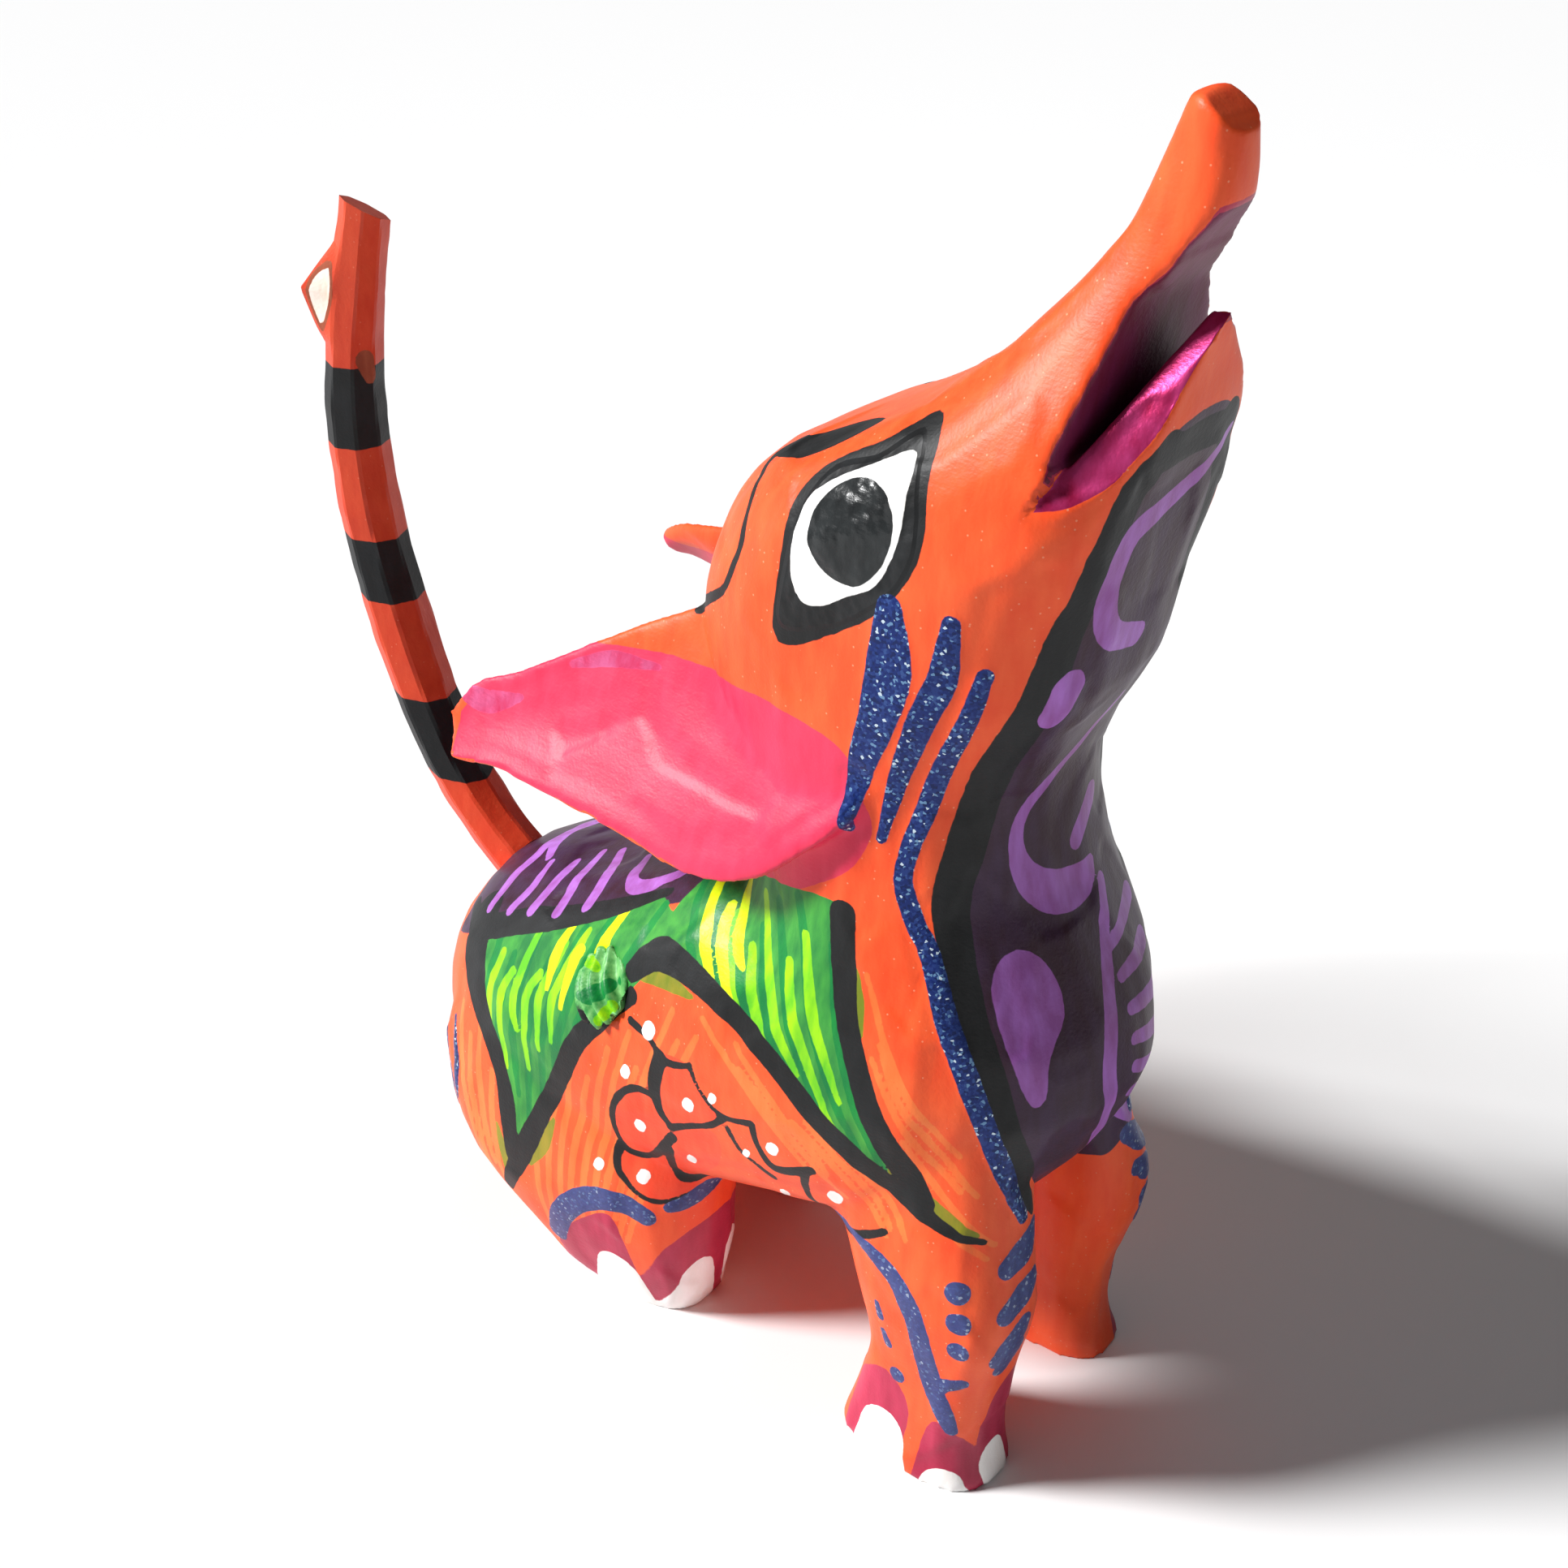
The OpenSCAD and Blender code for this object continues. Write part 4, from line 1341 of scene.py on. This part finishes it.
@dataclass
class Tail:
    """The tail: a whittled stick with eight flats, painted in bands."""

    route: Sequence[Point] = (
        (-21.6, 26.3), (-24.6, 28.5), (-27.8, 31.8), (-31.2, 37.4), (-34.2, 45), (-36.2, 52), (-37, 59),
        (-36.7, 66), (-35.2, 73), (-33.5, 79))
    widths: Sequence[float] = (1, 1, 1.02, 1.06, 1.08, 1.06, 1.02, 0.96, 0.86, 0.76)
    width: float = 4.5
    bands: Sequence[tuple[float, float]] = ((32.4, 38.8), (46.8, 51.9), (59.6, 66.4))
    flats: int = 8
    per_flat: int = 6
    ring_step: float = 0.4
    # How unevenly the flats are cut, in mm, how much it is evened, and the rings where it starts.
    waver: float = 0.1
    waver_rounds: int = 7
    waver_rings: int = 8
    # The stump of a snapped side twig: its heights, how far it stands out and which way.
    stub_low: float = 68.0
    stub_peak: float = 72.5
    stub_high: float = 76.0
    stub_reach: float = 2.3
    stub_way: Point = (-0.77, -0.64)
    stub_sharpness: int = 6
    # The tip is cut on a slope, which starts at this height and takes this long to come in.
    tip_from: float = 72.0
    tip_run: float = 6.6
    tip_slope: float = 0.52

    def build(self) -> bpy.types.Object:
        """Makes the tail.

        Returns:
            The painted tail, riding on its own body.
        """
        piece = self.loft()
        PegHole().drill(piece)
        canvas = Canvas(piece.data)
        black = canvas.layer(Paint.BLACK)
        height = canvas.points[:, 2]
        for low, high in self.bands:
            black[:] = np.maximum(black, np.minimum(height - low, high - height))
        self.chip(canvas)
        canvas.store([coat.paint for coat in self.coats()])
        # The same acrylic on a whittled twig, with raw pale wood where it has chipped.
        piece.data.materials.append(PaintedCopal(
            "acrylic_on_twig", "#CC3C1E", "#D64A28", self.coats(), 0.7, 0.4).build())
        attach(piece, "tail")
        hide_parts("tail")
        return piece

    def coats(self) -> list[Coat]:
        """Coats of the tail: black bands, paint worn thin, and bare wood where it is gone."""
        return [Coat(Paint.BLACK, "#0C0D0F", "#15171A", 0.5), Coat(Paint.WORN, "#8A3F28", "#A8573A", 0.7),
                Coat(Paint.BARE, "#F0DCC8", "#FFF6EC", 0.75)]

    def loft(self) -> bpy.types.Object:
        """Runs the eight flats along the route.

        Returns:
            The bare tail.
        """
        line = smooth_line(
            [(x, z, w * self.width) for (x, z), w in zip(self.route, self.widths)], self.ring_step)
        around = self.flats * self.per_flat
        points = self.sloped(self.stub(self.rings(line)))
        faces = [tuple(reversed(range(around))), tuple(range(len(points) - around, len(points)))]
        for i in range(len(line) - 1):
            for k in range(around):
                a, b = i * around + k, i * around + (k + 1) % around
                faces.append((a, b, b + around, a + around))
        mesh = bpy.data.meshes.new("painted_tail")
        mesh.from_pydata([tuple(p * MM) for p in points], [], faces)
        mesh.update()
        return add_piece("painted_tail", mesh)

    def rings(self, line: np.ndarray) -> np.ndarray:
        """Sets a ring of flats round each sample of the route.

        Args:
            line: Samples of the route: x, z and the tail's width, in mm.

        Returns:
            The rings' points in mm, one ring after another.
        """
        chance = np.random.default_rng(5)
        wobble = relaxed_rows(chance.normal(0, self.waver, (len(line), self.flats)), self.waver_rounds)
        around = self.flats * self.per_flat
        points = []
        for i, (x, z, w) in enumerate(line):
            run = line[min(i + 1, len(line) - 1), :2] - line[max(i - 1, 0), :2]
            run /= np.linalg.norm(run)
            grow = min(1, i / self.waver_rings)
            for k in range(around):
                angle = math.tau * (k + 0.5) / around
                into = (angle * self.flats / math.tau) % 1 - 0.5
                flat = int(angle * self.flats / math.tau) % self.flats
                apothem = w / 2 + wobble[i, flat] * grow
                radius = apothem / math.cos(into * math.tau / self.flats)
                across, up = radius * math.cos(angle), radius * math.sin(angle)
                points.append((x - up * run[1], across, z + up * run[0]))
        return np.array(points)

    def stub(self, points: np.ndarray) -> np.ndarray:
        """Draws out the stump of a snapped side twig near the tip.

        Args:
            points: Points of the tail in mm.

        Returns:
            The points, some of them drawn out.
        """
        rise = np.interp(points[:, 2], (self.stub_low, self.stub_peak, self.stub_high), (0, 1, 0))
        middle = np.interp(points[:, 2], [p[1] for p in self.route], [p[0] for p in self.route])
        away = np.stack([points[:, 0] - middle, points[:, 1]], 1)
        way = np.array(self.stub_way)
        share = np.clip((away @ way) / np.maximum(np.linalg.norm(away, axis=1), 1e-6), 0, 1)
        points = points.copy()
        points[:, :2] += (rise * share ** self.stub_sharpness * self.stub_reach)[:, None] * way
        return points

    def sloped(self, points: np.ndarray) -> np.ndarray:
        """Slopes the tip, as one slice of a knife leaves it.

        Args:
            points: Points of the tail in mm.

        Returns:
            The points, with those of the tip moved up or down.
        """
        share = np.clip((points[:, 2] - self.tip_from) / self.tip_run, 0, 1) ** 2
        points = points.copy()
        points[:, 2] -= share * self.tip_slope * points[:, 1]
        return points

    def chip(self, canvas: Canvas) -> None:
        """Bares the wood of the snapped stump and of two small chips.

        Args:
            canvas: The tail's canvas.
        """
        canvas.paint((
            Stroke(Paint.WORN, ROUND, ((-35.8, -2.6, 74.8), (-36.7, -2.9, 72.4), (-37.4, -2.3, 69.4)),
                   (0.8, 2.4, 0.7), False),
            Stroke(Paint.WORN, ROUND, ((-33.8, -1, 67), (-33.8, -0.6, 65.4)), (1.5, 1), False),
            Stroke(Paint.BARE, ROUND, ((-35.9, -2.6, 74.4), (-36.7, -2.9, 72.4), (-37.3, -2.4, 69.8)),
                   (0.4, 1.8, 0.4), False)))


@dataclass
class KnotFiller:
    """The lumpy filler pressed into the knot on the right flank, painted green."""

    voxel: float = 0.16
    lump: float = 0.5
    # Two waves that make the lumps: their radians for each mm along x, y and z.
    waves: Sequence[Point] = ((2.1, 1.3), (0.7, -1.9), (1.7, 2.3))

    def build(self) -> bpy.types.Object:
        """Makes the filler.

        Returns:
            The painted filler, riding on the figure.
        """
        piece = remeshed(frame["nodes"]["knot_filler"], "painted_filler", self.voxel)
        canvas = Canvas(piece.data)
        low, high = (np.array(corner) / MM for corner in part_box("knot_filler"))
        x, _, z = (low + high) / 2
        phase = canvas.points @ np.array(self.waves)
        canvas.points += canvas.normals * (np.sin(phase).prod(1) * self.lump)[:, None]
        canvas.paint((
            Stroke(Paint.LEAF, RIGHT, ((x + 1.6, z + 1.4), (x, z - 0.2), (x - 1.6, z - 1.2)),
                   (1, 1.4, 0.8), False),
            Stroke(Paint.LIME, RIGHT, ((x - 1.8, z + 1.2), (x - 0.6, z + 1.4)), (1.2, 0.8), False),
            Stroke(Paint.LIME, RIGHT, ((x + 2, z - 0.2), (x + 1, z - 1.8)), (1, 0.9), False),
            # This black stroke along the lower edge is painted shadow in the crevice there.
            Stroke(Paint.BLACK, RIGHT, ((x - 2.2, z - 1), (x - 0.8, z - 2.4), (x + 1.2, z - 2.6)),
                   (0.6, 0.9, 0.5), False)))
        coats = [coat for coat in COATS if coat.paint in (Paint.LEAF, Paint.LIME, Paint.BLACK)]
        canvas.store([coat.paint for coat in coats])
        # The same acrylic dabbed on filler: finer streaks, none of the ground coat's pearl glints, and a
        # pale green tone mixed in at random that stands in for the highlights on its glossy lumps: painted
        # highlight.
        piece.data.materials.append(PaintedCopal(
            "acrylic_on_filler", "#2C8A3E", "#86C878", coats, 0.5, 0).build())
        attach(piece, "figure")
        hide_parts("knot_filler")
        return piece


@dataclass(frozen=True)
class BareCopal:
    """Raw copal wood: pale, dry and straight-grained, with no finish at all."""

    light: str = "#E6C9A2"
    dark: str = "#C69A6B"
    # How far the peg leans out of level, and the distance between its growth lines in mm.
    lean: float = 34.5
    line_mm: float = 0.5
    relief_mm: float = 0.05

    def build(self) -> bpy.types.Material:
        """Makes the material.

        Returns:
            The bare wood.
        """
        material, tree = new_material("bare_copal")
        place = add_node(tree, "ShaderNodeTexCoord").outputs["Object"]
        # Growth lines lie half a millimetre apart and run along the peg.
        along = add_node(tree, "ShaderNodeMapping", {
            "Vector": place, "Rotation": (0, math.radians(self.lean), 0), "Scale": (0.08, 1, 1)})
        lines = add_node(tree, "ShaderNodeTexNoise", {
            "Vector": along, "Scale": 1 / (self.line_mm * MM), "Detail": 4.0})
        colour = add_node(tree, "ShaderNodeMix", {
            "Factor": lines, COLOUR_1: linear(self.dark), COLOUR_2: linear(self.light)}, data_type="RGBA")
        bump = add_node(tree, "ShaderNodeBump", {
            "Height": lines, "Strength": 0.5, "Distance": self.relief_mm * MM})
        surface = add_node(tree, "ShaderNodeBsdfPrincipled", {
            "Base Color": colour, "Roughness": 0.68, "IOR": 1.5, "Normal": bump})
        add_node(tree, "ShaderNodeOutputMaterial", {"Surface": surface})
        return material


@dataclass
class TailPeg:
    """The round peg between the tail and the rump."""

    def build(self) -> bpy.types.Object:
        """Dresses the peg in bare wood.

        Returns:
            The peg, as the frame holds it.
        """
        piece = frame["nodes"]["tail_peg"]
        piece.data.materials.clear()
        piece.data.materials.append(BareCopal().build())
        return piece


@dataclass
class Studio:
    """Pale floor, soft lights and the camera."""

    camera_at: Point = (97.0, -107.1, 132.2)
    azimuth: float = 40.0
    elevation: float = 32.0
    lens: float = 52.17
    key_way: Point = (-0.77, -0.64, 0.7)
    key_power: float = 5.7
    softness: float = 14.0
    room_power: float = 0.07
    room_colour: str = "#F2F3F6"
    floor_colour: str = "#F2F2F2"
    floor_reach: float = 3000.0

    def build(self) -> None:
        """Sets up the floor, the lights and the camera."""
        self.floor()
        self.sun()
        self.light("sky_light", (-20, 120, 340), 260, 0.12)
        self.light("fill_light", (260, -160, 120), 260, 0.03)
        self.camera()
        scene = bpy.context.scene
        scene.view_settings.view_transform = "Standard"
        world = bpy.data.worlds.new("room")
        world.use_nodes = True
        background = world.node_tree.nodes["Background"]
        background.inputs["Color"].default_value = linear(self.room_colour)
        background.inputs["Strength"].default_value = self.room_power
        scene.world = world

    def floor(self) -> None:
        """Lays the plain pale floor."""
        mesh = bpy.data.meshes.new("floor")
        reach = self.floor_reach * MM
        corners = [(x * reach, y * reach, 0) for x, y in ((-1, -1), (1, -1), (1, 1), (-1, 1))]
        mesh.from_pydata(corners, [], [(0, 1, 2, 3)])
        piece = add_piece("floor", mesh)
        material = bpy.data.materials.new("matt_paper")
        material.use_nodes = True
        shader = material.node_tree.nodes["Principled BSDF"]
        shader.inputs["Base Color"].default_value = linear(self.floor_colour)
        shader.inputs["Roughness"].default_value = 0.9
        mesh.materials.append(material)

    def light(self, name: str, at: Point, size: float, power: float) -> None:
        """Hangs a square soft light.

        Args:
            name: Name of the light.
            at: Its place in mm.
            size: Its side in mm.
            power: Its power in watts.
        """
        lamp = bpy.data.lights.new(name, "AREA")
        lamp.size = size * MM
        lamp.energy = power
        piece = add_piece(name, lamp)
        piece.location = Vector(at) * MM
        aim = (CAD_BOX[0] + CAD_BOX[1]) / 2 - piece.location
        piece.rotation_euler = aim.to_track_quat("-Z", "Y").to_euler()

    def sun(self) -> None:
        """Puts the key light far off to the camera's left, so that the whole floor is lit evenly."""
        lamp = bpy.data.lights.new("key_light", "SUN")
        lamp.angle = math.radians(self.softness)
        lamp.energy = self.key_power
        piece = add_piece("key_light", lamp)
        piece.rotation_euler = (-Vector(self.key_way)).to_track_quat("-Z", "Y").to_euler()

    def camera(self) -> None:
        """Stands the camera in front and to the right, looking down."""
        lens = bpy.data.cameras.new("camera")
        lens.lens = self.lens
        lens.clip_start, lens.clip_end = 5 * MM, 10000 * MM
        piece = add_piece("camera", lens)
        piece.location = Vector(self.camera_at) * MM
        piece.rotation_euler = (math.radians(90 - self.elevation), 0, math.radians(self.azimuth))
        bpy.context.scene.camera = piece


def main() -> None:
    """Builds the coyote and its studio, and reports each piece."""
    logging.basicConfig(level=logging.INFO, format="%(message)s")
    for maker in (CarvedBody(), Tail(), KnotFiller(), TailPeg()):
        piece = maker.build()
        logging.info("%s: %d points", piece.name, len(piece.data.vertices))
    Studio().build()


if __name__ == "__main__":
    main()
